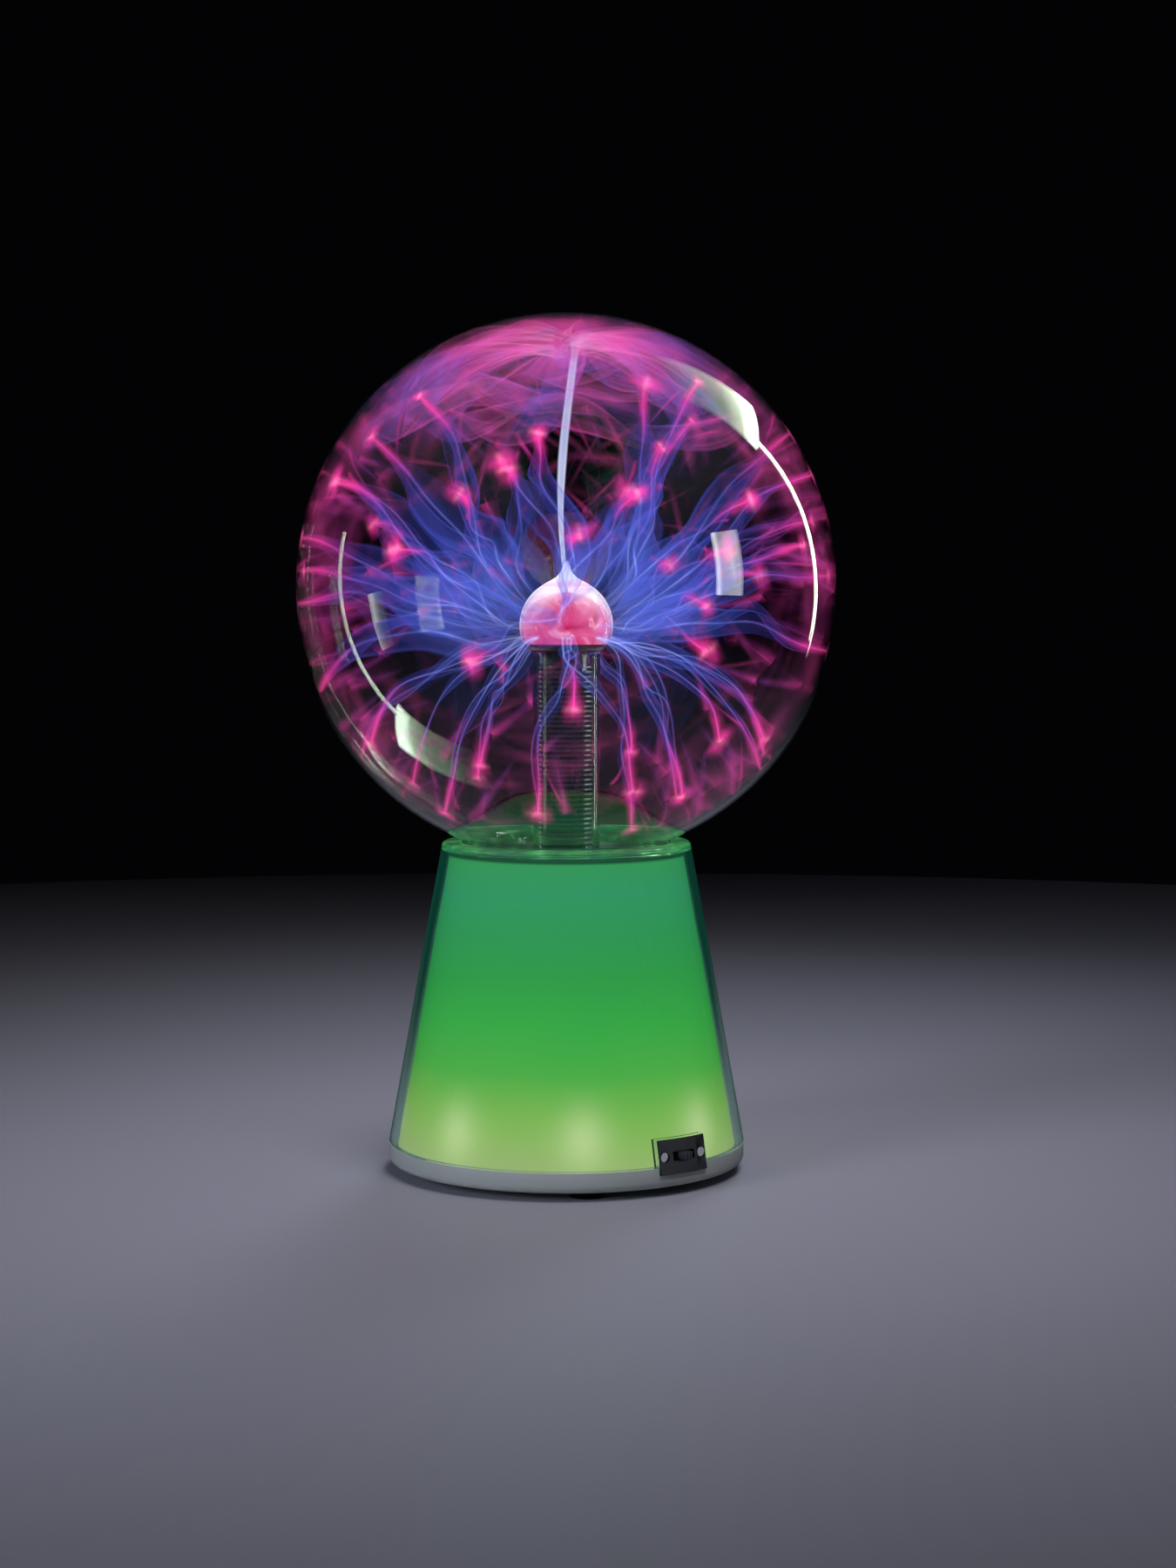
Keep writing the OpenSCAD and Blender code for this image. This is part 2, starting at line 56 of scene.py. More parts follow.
def link(tree, node, links):  # a link from a node starts at its first output
    for key, source in links.items():
        tree.links.new(source.outputs[0] if isinstance(source, bpy.types.Node) else source, node.inputs[key])


def addNode(tree, kind, settings={}, links={}):
    node = tree.nodes.new("ShaderNode" + kind)
    for key, value in settings.items():
        if key == "stops":  # colour ramp: (position, hex or grey)
            ramp = node.color_ramp
            while len(ramp.elements) < len(value):
                ramp.elements.new(0.5)
            for stop, (place, tone) in zip(ramp.elements, value):
                stop.position = place
            for stop, (place, tone) in zip(ramp.elements, value):
                stop.color = linear(tone) if isinstance(tone, str) else (tone, tone, tone, 1)
        elif isinstance(key, int) or key in node.inputs:
            node.inputs[key].default_value = value
        else:
            setattr(node, key, value)
    link(tree, node, links)
    return node


def newMaterial(name, settings):
    material = bpy.data.materials.new(name)
    material.use_nodes = True
    tree = material.node_tree
    tree.nodes.clear()
    shader = addNode(tree, "BsdfPrincipled", settings)
    addNode(tree, "OutputMaterial", {}, {"Surface": shader})
    return material, tree, shader


def roughen(tree, shader, where, scale, detail, strength, depth):  # a noise lifts the surface a little
    noise = addNode(tree, "TexNoise", {"Scale": scale, "Detail": detail}, {"Vector": where})
    bump = addNode(tree, "Bump", {"Strength": strength, "Distance": depth}, {"Height": noise})
    link(tree, shader, {"Normal": bump})


def pickNothing():
    if bpy.context.object and bpy.context.object.mode != "OBJECT":
        bpy.ops.object.mode_set(mode="OBJECT")
    bpy.ops.object.select_all(action="DESELECT")


def pick(piece):
    pickNothing()
    piece.select_set(True)
    bpy.context.view_layer.objects.active = piece


def applyAll(piece):
    pick(piece)
    for modifier in list(piece.modifiers):
        bpy.ops.object.modifier_apply(modifier=modifier.name)


def smooth(piece, angle=35):
    pick(piece)
    bpy.ops.object.shade_smooth_by_angle(angle=math.radians(angle))


replaced = set()


def dress(piece, material, nodes=(), body="lamp"):
    piece.data.materials.clear()
    piece.data.materials.append(material)
    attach(piece, body)
    if nodes:
        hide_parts(*nodes)
        replaced.update(nodes)
    return piece


def lathe(name, outline, steps=128, closed=True, angle=35):
    # outline: (radius, height) in millimetres, turned round the upright axis
    pickNothing()
    bpy.ops.mesh.primitive_circle_add(vertices=len(outline), radius=0.01)
    piece = bpy.context.object
    piece.name = name
    for vertex, (r, z) in zip(piece.data.vertices, outline):
        vertex.co = (r * mm, 0, z * mm)
    if not closed:  # the two ends lie on the axis
        piece.data.update()
        for part in (piece.data.vertices, piece.data.edges):
            part.foreach_set("select", [False] * len(part))
        last = len(outline) - 1
        for edge in piece.data.edges:
            edge.select = set(edge.vertices) == {0, last}
        piece.data.vertices[0].select = piece.data.vertices[last].select = True
        bpy.ops.object.mode_set(mode="EDIT")
        bpy.ops.mesh.select_mode(type="EDGE")
        bpy.ops.mesh.delete(type="EDGE_FACE")
        bpy.ops.mesh.select_mode(type="VERT")
    else:
        bpy.ops.object.mode_set(mode="EDIT")
    bpy.ops.mesh.select_all(action="SELECT")
    bpy.ops.mesh.spin(steps=steps, angle=math.tau, center=(0, 0, 0), axis=(0, 0, 1))
    bpy.ops.mesh.select_all(action="SELECT")
    bpy.ops.mesh.remove_doubles(threshold=1e-6)
    bpy.ops.mesh.normals_make_consistent(inside=False)
    bpy.ops.object.mode_set(mode="OBJECT")
    smooth(piece, angle)
    return piece


def arc(x, z, r, start, end, count):  # points of an arc, angles in degrees
    return [(x + r * math.cos(math.radians(start + (end - start) * i / count)),
             z + r * math.sin(math.radians(start + (end - start) * i / count))) for i in range(count + 1)]


def blendCurve(a, b, c, count):  # a soft corner from a to c, pulled towards b
    return [tuple((1 - t) ** 2 * a[k] + 2 * t * (1 - t) * b[k] + t * t * c[k] for k in (0, 1))
            for t in [i / count for i in range(1, count)]]


def aim(azimuth, elevation):  # a direction, azimuth counted from the front towards the right
    a, e = math.radians(azimuth), math.radians(elevation)
    return Vector((math.cos(e) * math.sin(a), -math.cos(e) * math.cos(a), math.sin(e)))


# ---- camera, floor and light ----

view = {"place": (0.008, -1.08, 0.218), "target": (0.008, 0, 0.143), "angle": 30}
cameraData = bpy.data.cameras.new("camera")
cameraData.sensor_fit = "VERTICAL"
cameraData.angle = math.radians(view["angle"])
camera = bpy.data.objects.new("camera", cameraData)
camera.location = view["place"]
camera.rotation_euler = (Vector(view["target"]) - Vector(view["place"])).to_track_quat("-Z", "Y").to_euler()
scene.collection.objects.link(camera)
scene.camera = camera

globeLow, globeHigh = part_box("globe_glass")
globeR = (globeHigh.x - globeLow.x) / 2
centre = Vector((0, 0, globeHigh.z - globeR))
bulbLow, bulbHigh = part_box("electrode_bulb")
bulbR = (bulbHigh.x - bulbLow.x) / 2
bulbCentre = Vector((0, 0, bulbHigh.z - bulbR))
globe = {"neckR": 33, "neckEnd": 90, "wall": 2.0, "fillet": 4.5, "rings": 110, "steps": 192}
innerR = globeR - globe["wall"] * mm

stage = {"floor": "#aeb0b6", "floorSize": 2.2, "world": "#0b0c10", "worldStrength": 0.25}
pickNothing()
bpy.ops.mesh.primitive_circle_add(vertices=96, radius=stage["floorSize"] / 2, fill_type="NGON")
floor = bpy.context.object
floor.name = "floor"
floorPaint, tree, shader = newMaterial("mattPaintedBoard", {  # matt emulsion on board, faint roller texture
    "Base Color": linear(stage["floor"]), "Roughness": 0.62, "Specular IOR Level": 0.3})
where = addNode(tree, "TexCoord").outputs["Object"]
roughen(tree, shader, where, 900, 2, 0.12, 0.0004)
floor.data.materials.append(floorPaint)
floor.visible_glossy = False

world = bpy.data.worlds.new("night")
scene.world = world
world.use_nodes = True
world.node_tree.nodes["Background"].inputs[0].default_value = linear(stage["world"])
world.node_tree.nodes["Background"].inputs[1].default_value = stage["worldStrength"]

# Softboxes that are seen mirrored in the glass: direction from the globe, distance, width and height,
# turn in degrees, brightness, and tones from one end to the other
softboxes = {
    "window": {
        "aim": (0.56, 0.384, 0.735), "away": 1.3, "size": (0.62, 0.50), "turn": -90, "glow": 14,
        "tones": [(0, "#000000"), (0.25, "#2c3a2e"), (0.62, "#53624f"), (0.8, "#86977f"), (0.9, "#e6f6e4"),
                  (1, "#f4ffee")]},
    "sidePane": {
        "aim": (0.925, -0.38, 0.124), "away": 1.2, "size": (0.26, 0.44), "turn": 0, "glow": 8,
        "tones": [(0, 1.0), (0.12, 0.9), (0.2, 0.35), (1, 0.5)]},
    "leftPane": {
        "aim": (-0.966, -0.18, -0.185), "away": 1.2, "size": (0.15, 0.36), "turn": 8, "glow": 6,
        "tones": [(0, "#dfeee0"), (0.3, "#8ea08c"), (0.6, "#50604e"), (1, "#303c30")]},
    "strip": {
        "aim": (0.86, 0.50, 0.24), "away": 1.5, "size": (1.6, 0.034), "turn": 98, "glow": 24,
        "tones": [(0, "#000000"), (0.15, "#e0ecd8"), (0.5, "#fafff0"), (0.8, "#e0ecd8"), (1, "#5a6258")]},
}
mirrorsIn = bpy.data.collections.new("glassThatMirrors")
scene.collection.children.link(mirrorsIn)
for name, box in softboxes.items():
    pickNothing()
    bpy.ops.mesh.primitive_grid_add(x_subdivisions=2, y_subdivisions=2, size=1)
    card = bpy.context.object
    card.name = "softbox_" + name
    card.scale = (*box["size"], 1)
    bpy.ops.object.transform_apply(location=False, rotation=False, scale=True)
    towards = Vector(box["aim"]).normalized()
    spun = Quaternion((0, 0, 1), math.radians(box["turn"]))
    card.rotation_euler = (towards.to_track_quat("Z", "Y") @ spun).to_euler()
    card.location = centre + towards * box["away"]
    material, tree, shader = newMaterial("softboxCloth_" + name, {  # white diffusing cloth lit from behind
        "Base Color": linear("#ffffff"), "Emission Strength": box["glow"]})
    where = addNode(tree, "TexCoord").outputs["Object"]
    split = addNode(tree, "SeparateXYZ", {}, {0: where})
    across = addNode(tree, "MapRange", {
        "From Min": -box["size"][0] / 2, "From Max": box["size"][0] / 2}, {"Value": split.outputs["X"]})
    tone = addNode(tree, "ValToRGB", {"stops": box["tones"]}, {"Fac": across})
    link(tree, shader, {"Emission Color": tone})
    material.cycles.emission_sampling = "NONE"
    card.data.materials.append(material)
    card.visible_camera = card.visible_diffuse = card.visible_shadow = False
    card.light_linking.receiver_collection = mirrorsIn

# Lamps that only light, and are not mirrored
fittings = bpy.data.collections.new("fittingsThatShine")
scene.collection.children.link(fittings)
lamps = {
    "overhead": {"place": (0.25, -0.35, 1.1), "size": 0.5, "watts": 0.65, "tint": "#f2f5ff", "spread": 62},
    "fill": {"place": (-0.9, -0.8, 0.5), "size": 0.5, "watts": 0.4, "tint": "#dfe6ff", "spread": 40},
    "back": {"place": (0.3, 1.1, 0.8), "size": 0.5, "watts": 0.4, "tint": "#dfe6ff", "spread": 40},
    "bulbGlow": {"place": bulbCentre, "size": 0.012, "watts": 0.25, "tint": "#e0509a"},
    "topGlow": {"place": centre + up * 0.07, "size": 0.02, "watts": 0.3, "tint": "#d050b0"},
}
for i in range(4):  # light of the base that climbs into the neck
    place = aim(45 + 90 * i, 0) * 0.022 + up * 0.104
    lamps["neckGlow%d" % i] = {"place": place, "size": 0.004, "watts": 0.0022, "tint": "#18a038"}
for name, azimuth in (("keyFront", 60), ("keyBack", 190)):  # for the fittings alone, and mirrored in them
    lamps[name] = {"place": aim(azimuth, 14) * 0.9, "size": 1.1, "watts": 2.2, "tint": "#eef2ff",
                   "spread": 180, "aimHeight": 0.03}
for name, lamp in lamps.items():
    data = bpy.data.lights.new(name, "AREA" if "spread" in lamp else "POINT")
    data.energy = lamp["watts"]
    data.color = linear(lamp["tint"])[:3]
    if "spread" in lamp:
        data.size = lamp["size"]
        data.spread = math.radians(lamp["spread"])
    else:
        data.shadow_soft_size = lamp["size"]
    light = bpy.data.objects.new(name, data)
    light.location = lamp["place"]
    target = up * lamp.get("aimHeight", 0.12)
    light.rotation_euler = (target - light.location).to_track_quat("-Z", "Y").to_euler()
    light.visible_camera = light.visible_transmission = False
    light.visible_glossy = "aimHeight" in lamp
    if "aimHeight" in lamp:
        light.light_linking.receiver_collection = fittings
    scene.collection.objects.link(light)

scene.view_settings.view_transform = "Standard"
scene.cycles.transparent_max_bounces = 128
scene.cycles.max_bounces = 16
scene.cycles.transmission_bounces = 14
scene.cycles.glossy_bounces = 8
print("camera, floor and light ready")


# ---- glass ----

def clear(piece):  # mirrors the softboxes and lets all light through
    piece.visible_shadow = False
    mirrorsIn.objects.link(piece)


def blownGlass(name, tint, waveSize, waveDepth):
    # soda-lime glass, fire-polished: quite clear, sharp mirror lines, a very slight waviness from blowing
    material, tree, shader = newMaterial(name, {
        "Base Color": linear(tint), "Transmission Weight": 1.0, "IOR": 1.5, "Roughness": 0.0})
    where = addNode(tree, "TexCoord").outputs["Object"]
    roughen(tree, shader, where, 1 / (waveSize * mm), 1.5, 0.5, waveDepth * mm)
    return material


def globeSkin(radius, neck, fillet, low):  # outline of one face of the glass, from its top down
    z0, points = centre.z / mm, []
    reach = math.pi - math.asin((neck + fillet) / radius)
    for i in range(globe["rings"] + 1):
        a = reach * i / globe["rings"]
        points.append((max(radius * math.sin(a), 0), z0 + radius * math.cos(a)))
    corner = (neck, z0 - math.sqrt(radius ** 2 - neck ** 2))
    points += blendCurve(points[-1], corner, (neck, corner[1] - fillet * 1.3), 8)
    points.append((neck, corner[1] - fillet * 1.3))
    points.append((neck, low))
    return points


outside = globeSkin(globeR / mm, globe["neckR"], globe["fillet"], globe["neckEnd"])
inside = globeSkin(innerR / mm, globe["neckR"] - globe["wall"], globe["fillet"], globe["neckEnd"])
globePiece = lathe("globe", outside + inside[::-1], globe["steps"], closed=False)
globeGlass = blownGlass("sodaLimeGlobeGlass", "#fbfffd", 60, 0.04)
dress(globePiece, globeGlass, ["globe_glass", "globe_neck"])
clear(globePiece)

# The stem and the plate that closes the neck are one piece of drawn tube, flared at its foot
stem = {"r": 12.5, "wall": 1.5, "foot": 87.5, "plate": 90, "plateR": 33}
stemTop = bulbCentre.z / mm - 10.4
outline = ([(stem["r"], stemTop), (stem["r"], 96)]
           + blendCurve((stem["r"], 96), (stem["r"], stem["plate"]), (17.5, stem["plate"]), 8)
           + [(17.5, stem["plate"]), (stem["plateR"] - 0.5, stem["plate"])]
           + arc(stem["plateR"] - 1.25, stem["plate"] - 1.25, 1.25, 90, -90, 6)
           + [(17, stem["foot"])]
           + blendCurve((17, stem["foot"]), (11, stem["foot"]), (11, 94), 8)
           + [(11, 94), (stem["r"] - stem["wall"], stemTop)])
stemPiece = lathe("stem_glass", outline, 96)
stemGlass = blownGlass("drawnTubeGlass", "#eef8f2", 40, 0.02)
dress(stemPiece, stemGlass, ["stem_tube", "neck_plate"])
clear(stemPiece)

# The bulb: thin blown glass, open below where the stem enters
bulb = {"wall": 0.6, "openR": 12.6, "shoulder": 7.6}
z0, r0 = bulbCentre.z / mm, bulbR / mm
inR = r0 - bulb["wall"]
endOut, endIn = (-math.degrees(math.asin(bulb["shoulder"] / r)) for r in (r0, inR))
shoulderR = math.sqrt(r0 ** 2 - bulb["shoulder"] ** 2)
shoulderZ = z0 - bulb["shoulder"]
outline = [(max(p[0], 0), p[1]) for p in arc(0, z0, r0, 90, endOut, 48)]
outline += blendCurve(outline[-1], (shoulderR - 0.6, shoulderZ - 1.3), (bulb["openR"], shoulderZ - 1.8), 6)
outline += [(bulb["openR"], shoulderZ - 1.8), (bulb["openR"], shoulderZ - 1.2)]
outline += [(shoulderR - 1.6, shoulderZ - 0.7)]
outline += [(max(p[0], 0), p[1]) for p in arc(0, z0, inR, endIn, 90, 48)]
bulbPiece = lathe("bulb_glass", outline, 96, closed=False)
bulbGlass = blownGlass("thinBulbGlass", "#ffdfea", 20, 0.08)
dress(bulbPiece, bulbGlass, ["electrode_bulb"])
clear(bulbPiece)

# The insulating sleeve inside the stem, with a rounded rib every 1.8 mm
sleeve = {"in": 8.2, "valley": 9.3, "ridge": 10.2, "pitch": 1.8}
sleeveLow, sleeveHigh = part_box("stem_sleeve")
z0 = sleeveLow.z / mm
count = round((sleeveHigh.z - sleeveLow.z) / mm / sleeve["pitch"])
ribDepth = sleeve["ridge"] - sleeve["valley"]
outline = [(sleeve["in"], z0)]
for i in range(count * 6 + 1):
    lift = 0.5 - 0.5 * math.cos(i / 6 * math.tau)
    outline.append((sleeve["valley"] + ribDepth * lift ** 0.7, z0 + i * sleeve["pitch"] / 6))
outline.append((sleeve["in"], z0 + count * sleeve["pitch"]))
sleevePiece = lathe("ribbed_sleeve", outline, 72, angle=60)
nylon, tree, shader = newMaterial("corrugatedNylonBlackPaintedLight", {  # extruded nylon hose, dust in its grooves; its emission is painted light: a painted green and pink glow and painted highlights on the ribs
    "Roughness": 0.2, "Coat Weight": 0.4, "Coat Roughness": 0.08, "Emission Strength": 1.0})
where = addNode(tree, "TexCoord").outputs["Object"]
split = addNode(tree, "SeparateXYZ", {}, {0: where})
dustAndHighlightNoise = addNode(tree, "TexNoise", {"Scale": 420, "Detail": 3}, {"Vector": where})
tint = addNode(tree, "ValToRGB", {"stops": [(0.4, "#070709"), (0.62, "#15161a"), (0.75, "#34363a")]},
               {"Fac": dustAndHighlightNoise})
climb = addNode(tree, "MapRange", {"From Min": 0.092, "From Max": 0.190}, {"Value": split.outputs["Z"]})
paintedGlow = addNode(tree, "ValToRGB", {"stops": [  # painted glow: green of the lamps below, pink of the bulb above
    (0, "#0d4a1e"), (0.08, "#06280f"), (0.25, "#020a05"), (0.8, "#000001"), (0.96, "#0c0410"),
    (1, "#2a0a2c")]},
    {"Fac": climb})
perMetre = math.tau / (sleeve["pitch"] * mm)
ribAngle = addNode(tree, "Math", {
    "operation": "MULTIPLY_ADD", 1: perMetre, 2: -sleeveLow.z * perMetre - math.pi}, {0: split.outputs["Z"]})
wave = addNode(tree, "Math", {"operation": "COSINE"}, {0: ribAngle})
ridge = addNode(tree, "MapRange", {"From Min": -0.1, "From Max": 0.9}, {"Value": wave})
turn = addNode(tree, "Math", {"operation": "ARCTAN2"}, {0: split.outputs["X"], 1: split.outputs["Y"]})
thrice = addNode(tree, "Math", {"operation": "MULTIPLY_ADD", 1: 3.0, 2: math.radians(-30)}, {0: turn})
paintedHighlightColumns = addNode(tree, "Math", {"operation": "COSINE"}, {0: thrice})  # painted highlights: the ribs are painted lit in three columns
paintedHighlightColumn = addNode(tree, "MapRange", {"From Min": 0.78, "From Max": 1.0}, {"Value": paintedHighlightColumns})
paintedHighlightSpeckle = addNode(tree, "MapRange", {"From Min": 0.38, "From Max": 0.60, "To Min": 0.2}, {"Value": dustAndHighlightNoise})
# mask of the painted highlights: on the ridges, within the columns, speckled by the dust noise
paintedHighlightMask = ridge
for share in (paintedHighlightColumn, paintedHighlightSpeckle, ridge):
    paintedHighlightMask = addNode(tree, "Math", {"operation": "MULTIPLY"}, {0: paintedHighlightMask, 1: share})
# painted glow, with a faint painted sheen added on the ridges
paintedGlowAndRidgeSheen = addNode(tree, "Mix", {"data_type": "RGBA", "blend_type": "ADD", 7: linear("#1a1c2c")},
                {0: ridge, 6: paintedGlow})
# painted highlights on the ribs, laid over the painted glow
paintedGlowAndHighlights = addNode(tree, "Mix", {"data_type": "RGBA", 7: linear("#989ea4")},
                {0: paintedHighlightMask, 6: paintedGlowAndRidgeSheen.outputs[2]})
link(tree, shader, {"Base Color": tint, "Emission Color": paintedGlowAndHighlights.outputs[2]})
dress(sleevePiece, nylon, ["stem_sleeve"])
mirrorsIn.objects.link(sleevePiece)
print("globe, stem and bulb made")


# ---- the base ----

shell = {"topR": 46, "foot": 10.5, "footR": 66, "top": 122, "wall": 2.5, "corner": 1.6, "hole": 39}
diffuser = {"gap": 1.0, "wall": 1.6}


def shellR(z):
    slope = (shell["footR"] - shell["topR"]) / (shell["top"] - shell["foot"])
    return shell["footR"] - (z - shell["foot"]) * slope


def cutPlates(piece):  # openings for the switch plate and the rear plate
    for node, width in (("switch_bezel", 22), ("rear_plate", 28)):
        low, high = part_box(node)
        angle = 40 if node == "switch_bezel" else 180
        pickNothing()
        bpy.ops.mesh.primitive_cube_add(size=1)
        cutter = bpy.context.object
        middle = aim(angle, 0) * 0.068
        cutter.scale = (width * mm, 0.025, (high.z - low.z) + 0.0001)
        cutter.rotation_euler = (0, 0, math.radians(angle))
        cutter.location = (middle.x, middle.y, (low.z + high.z) / 2)
        bpy.ops.object.transform_apply(location=True, rotation=True, scale=True)
        cut = piece.modifiers.new("opening", "BOOLEAN")
        cut.operation = "DIFFERENCE"
        cut.solver = "EXACT"
        cut.object = cutter
        applyAll(piece)
        bpy.data.objects.remove(cutter)


s = shell
outline = ([(s["footR"] - s["wall"], s["foot"]), (s["footR"] - 0.4, s["foot"])]
           + [(s["footR"] - 0.05, s["foot"] + 0.4)]
           + [(shellR(z), z) for z in (30, 60, 90)]
           + arc(s["topR"] - s["corner"] + 0.1, s["top"] - s["corner"], s["corner"], 10, 90, 8)
           + [(s["hole"] + 0.6, s["top"]), (s["hole"], s["top"] - 0.6)]
           + [(s["hole"], s["top"] - s["wall"] + 0.4), (s["hole"] + 0.4, s["top"] - s["wall"])]
           + arc(shellR(s["top"] - 2.5) - s["wall"] - 1.2, s["top"] - s["wall"] - 1.2, 1.2, 90, 10, 6)
           + [(shellR(z) - s["wall"], z) for z in (90, 60, 30)])
shellPiece = lathe("outer_shell_clear", outline, 144)
cutPlates(shellPiece)
smooth(shellPiece, 30)
shellPlasticPaintedGlow, tree, shader = newMaterial("clearPolystyrene", {  # injection moulded, faint flow marks; its emission is a faint painted green glow
    "Base Color": linear("#f2fff6"), "Transmission Weight": 1.0, "IOR": 1.49, "Roughness": 0.04,
    # painted green glow: the clear plastic glows faintly though it is no lamp
    "Specular IOR Level": 0.15, "Emission Color": linear("#0f4a3c"), "Emission Strength": 0.16})
where = addNode(tree, "TexCoord").outputs["Object"]
flow = addNode(tree, "Mapping", {"Scale": (1, 1, 0.25)}, {"Vector": where})
roughen(tree, shader, flow, 45, 2, 0.3, 0.0002)
dress(shellPiece, shellPlasticPaintedGlow, ["outer_shell"])
# the rounded top edge and the flat rim, where the light trapped in the plastic comes out
rimPlastic, tree, shader = newMaterial("clearPolystyreneLitRim", {
    "Base Color": linear("#7fb890"), "Transmission Weight": 0.8, "IOR": 1.49, "Roughness": 0.1,
    "Specular IOR Level": 0.2, "Emission Strength": 0.5})
where = addNode(tree, "TexCoord").outputs["Object"]
swirl = addNode(tree, "TexNoise", {"Scale": 55, "Detail": 3, "Distortion": 2.0},
                {"Vector": where})
paintedGlow = addNode(tree, "ValToRGB", {"stops": [
    (0.34, "#062a12"), (0.5, "#1f6a30"), (0.62, "#34903f"), (0.78, "#70c880")]}, {"Fac": swirl})
wavy = addNode(tree, "Bump", {"Strength": 0.6, "Distance": 0.0005}, {"Height": swirl})
link(tree, shader, {"Emission Color": paintedGlow, "Normal": wavy})
shellPiece.data.materials.append(rimPlastic)
for face in shellPiece.data.polygons:
    if face.center.z > (shell["top"] - 1.25) * mm and face.normal.z > 0.15:
        face.material_index = 1
shellPiece.visible_shadow = False

inset = s["wall"] + diffuser["gap"]
top = s["top"] - inset
outline = ([(s["footR"] - inset - diffuser["wall"], s["foot"]), (s["footR"] - inset, s["foot"])]
           + [(shellR(z) - inset, z) for z in (30, 60, 90)]
           + arc(shellR(top) - inset - 1.2, top - 1.2, 1.2, 10, 90, 6)
           + [(s["hole"], top), (s["hole"], top - diffuser["wall"] + 0.1)]
           + [(shellR(top - 2) - inset - diffuser["wall"], top - 1.6)]
           + [(shellR(z) - inset - diffuser["wall"], z) for z in (90, 60, 30)])
diffuserPiece = lathe("diffuser_lit", outline, 144)
cutPlates(diffuserPiece)
smooth(diffuserPiece, 30)
diffuserLook = {"glow": 1.0, "lampCount": 8, "firstLamp": 6, "lampHeight": 21, "lampSpread": 11}
frosted, tree, shader = newMaterial("frostedOpalPolystyrene", {  # etched opal plastic, lit from inside
    "Base Color": linear("#26402c"), "Roughness": 0.55, "Emission Strength": diffuserLook["glow"],
    "Specular IOR Level": 0.35})
where = addNode(tree, "TexCoord").outputs["Object"]
split = addNode(tree, "SeparateXYZ", {}, {0: where})
grain = addNode(tree, "TexNoise", {"Scale": 18, "Detail": 2}, {"Vector": where})
drift = addNode(tree, "Math", {"operation": "MULTIPLY_ADD", 1: 0.014, 2: -0.007}, {0: grain})
level = addNode(tree, "Math", {"operation": "ADD"}, {0: split.outputs["Z"], 1: drift})
height = addNode(tree, "MapRange", {"From Min": 0.0105, "From Max": 0.1195}, {"Value": level})
glowColour = addNode(tree, "ValToRGB", {"stops": [
    (0.0, "#9fb070"), (0.07, "#93b35c"), (0.17, "#7db14a"), (0.30, "#4fa93e"), (0.45, "#38a33c"),
    (0.60, "#2f9640"), (0.74, "#2f9050"), (0.88, "#328f60"), (1.0, "#359050")]}, {"Fac": height})
turn = addNode(tree, "Math", {"operation": "ARCTAN2"}, {0: split.outputs["X"], 1: split.outputs["Y"]})
phase = math.radians(diffuserLook["lampCount"] * diffuserLook["firstLamp"])
count = addNode(tree, "Math", {"operation": "MULTIPLY_ADD", 1: diffuserLook["lampCount"], 2: phase},
                {0: turn})
ring = addNode(tree, "Math", {"operation": "COSINE"}, {0: count})
aside = addNode(tree, "Math", {"operation": "MULTIPLY_ADD", 1: 1.5, 2: -1.5}, {0: ring})
fromLamp = addNode(tree, "Math", {"operation": "SUBTRACT", 1: diffuserLook["lampHeight"] * mm},
                   {0: split.outputs["Z"]})
spread = addNode(tree, "Math", {"operation": "DIVIDE", 1: diffuserLook["lampSpread"] * mm},
                 {0: fromLamp})
square = addNode(tree, "Math", {"operation": "MULTIPLY"}, {0: spread, 1: spread})
away = addNode(tree, "Math", {"operation": "SUBTRACT"}, {0: aside, 1: square})
fall = addNode(tree, "Math", {"operation": "EXPONENT"}, {0: away})
lampShare = addNode(tree, "Math", {"operation": "MULTIPLY", 1: 0.6}, {0: fall})
glow = addNode(tree, "Mix", {"data_type": "RGBA", 7: linear("#d6e0a8")},
               {0: lampShare, 6: glowColour})
rimShade = addNode(tree, "MapRange", {  # no light reaches the very top
    "From Min": 0.1166, "From Max": 0.1176, "To Min": 0.0, "To Max": 0.93}, {"Value": split.outputs["Z"]})
glow = addNode(tree, "Mix", {"data_type": "RGBA", 7: linear("#04140a")},
               {0: rimShade, 6: glow.outputs[2]})
roughen(tree, shader, where, 1400, 1, 0.25, 0.0001)
link(tree, shader, {"Emission Color": glow.outputs[2]})
dress(diffuserPiece, frosted, ["diffuser"])

outline = ([(33.4, 117.2), (38.6, 117.2), (38.8, 118.2), (38.8, 121.4)]
           + blendCurve((38.8, 121.4), (38.8, 122.5), (37.6, 122.7), 5)
           + [(37.4, 122.6), (35.8, 121.6), (33.5, 120.6)])
gasketPiece = lathe("neck_ring", outline, 96)
silicone, tree, shader = newMaterial("translucentSilicone", {  # moulded, passes the green of the lamps: a mottled painted green glow with pale painted glints
    "Base Color": linear("#2c5a3c"), "Roughness": 0.25, "Subsurface Weight": 0.3, "Subsurface Scale": 0.003,
    "Emission Strength": 0.4})
where = addNode(tree, "TexCoord").outputs["Object"]
cloud = addNode(tree, "TexNoise", {"Scale": 90, "Detail": 3, "Distortion": 1.5},
                {"Vector": where})
# painted green glow, mottled by noise, with pale painted glints at the top of the ramp
paintedGlowAndGlints = addNode(tree, "ValToRGB", {"stops": [
    (0.35, "#03140a"), (0.5, "#0e4a20"), (0.62, "#1f7a34"), (0.75, "#8fe0a0")]}, {"Fac": cloud})
bump = addNode(tree, "Bump", {"Strength": 0.5, "Distance": 0.0006}, {"Height": cloud})
link(tree, shader, {"Emission Color": paintedGlowAndGlints, "Normal": bump})
dress(gasketPiece, silicone, ["neck_gasket"])
print("shell, diffuser and neck ring made")


# ---- moulded and fitted parts ----

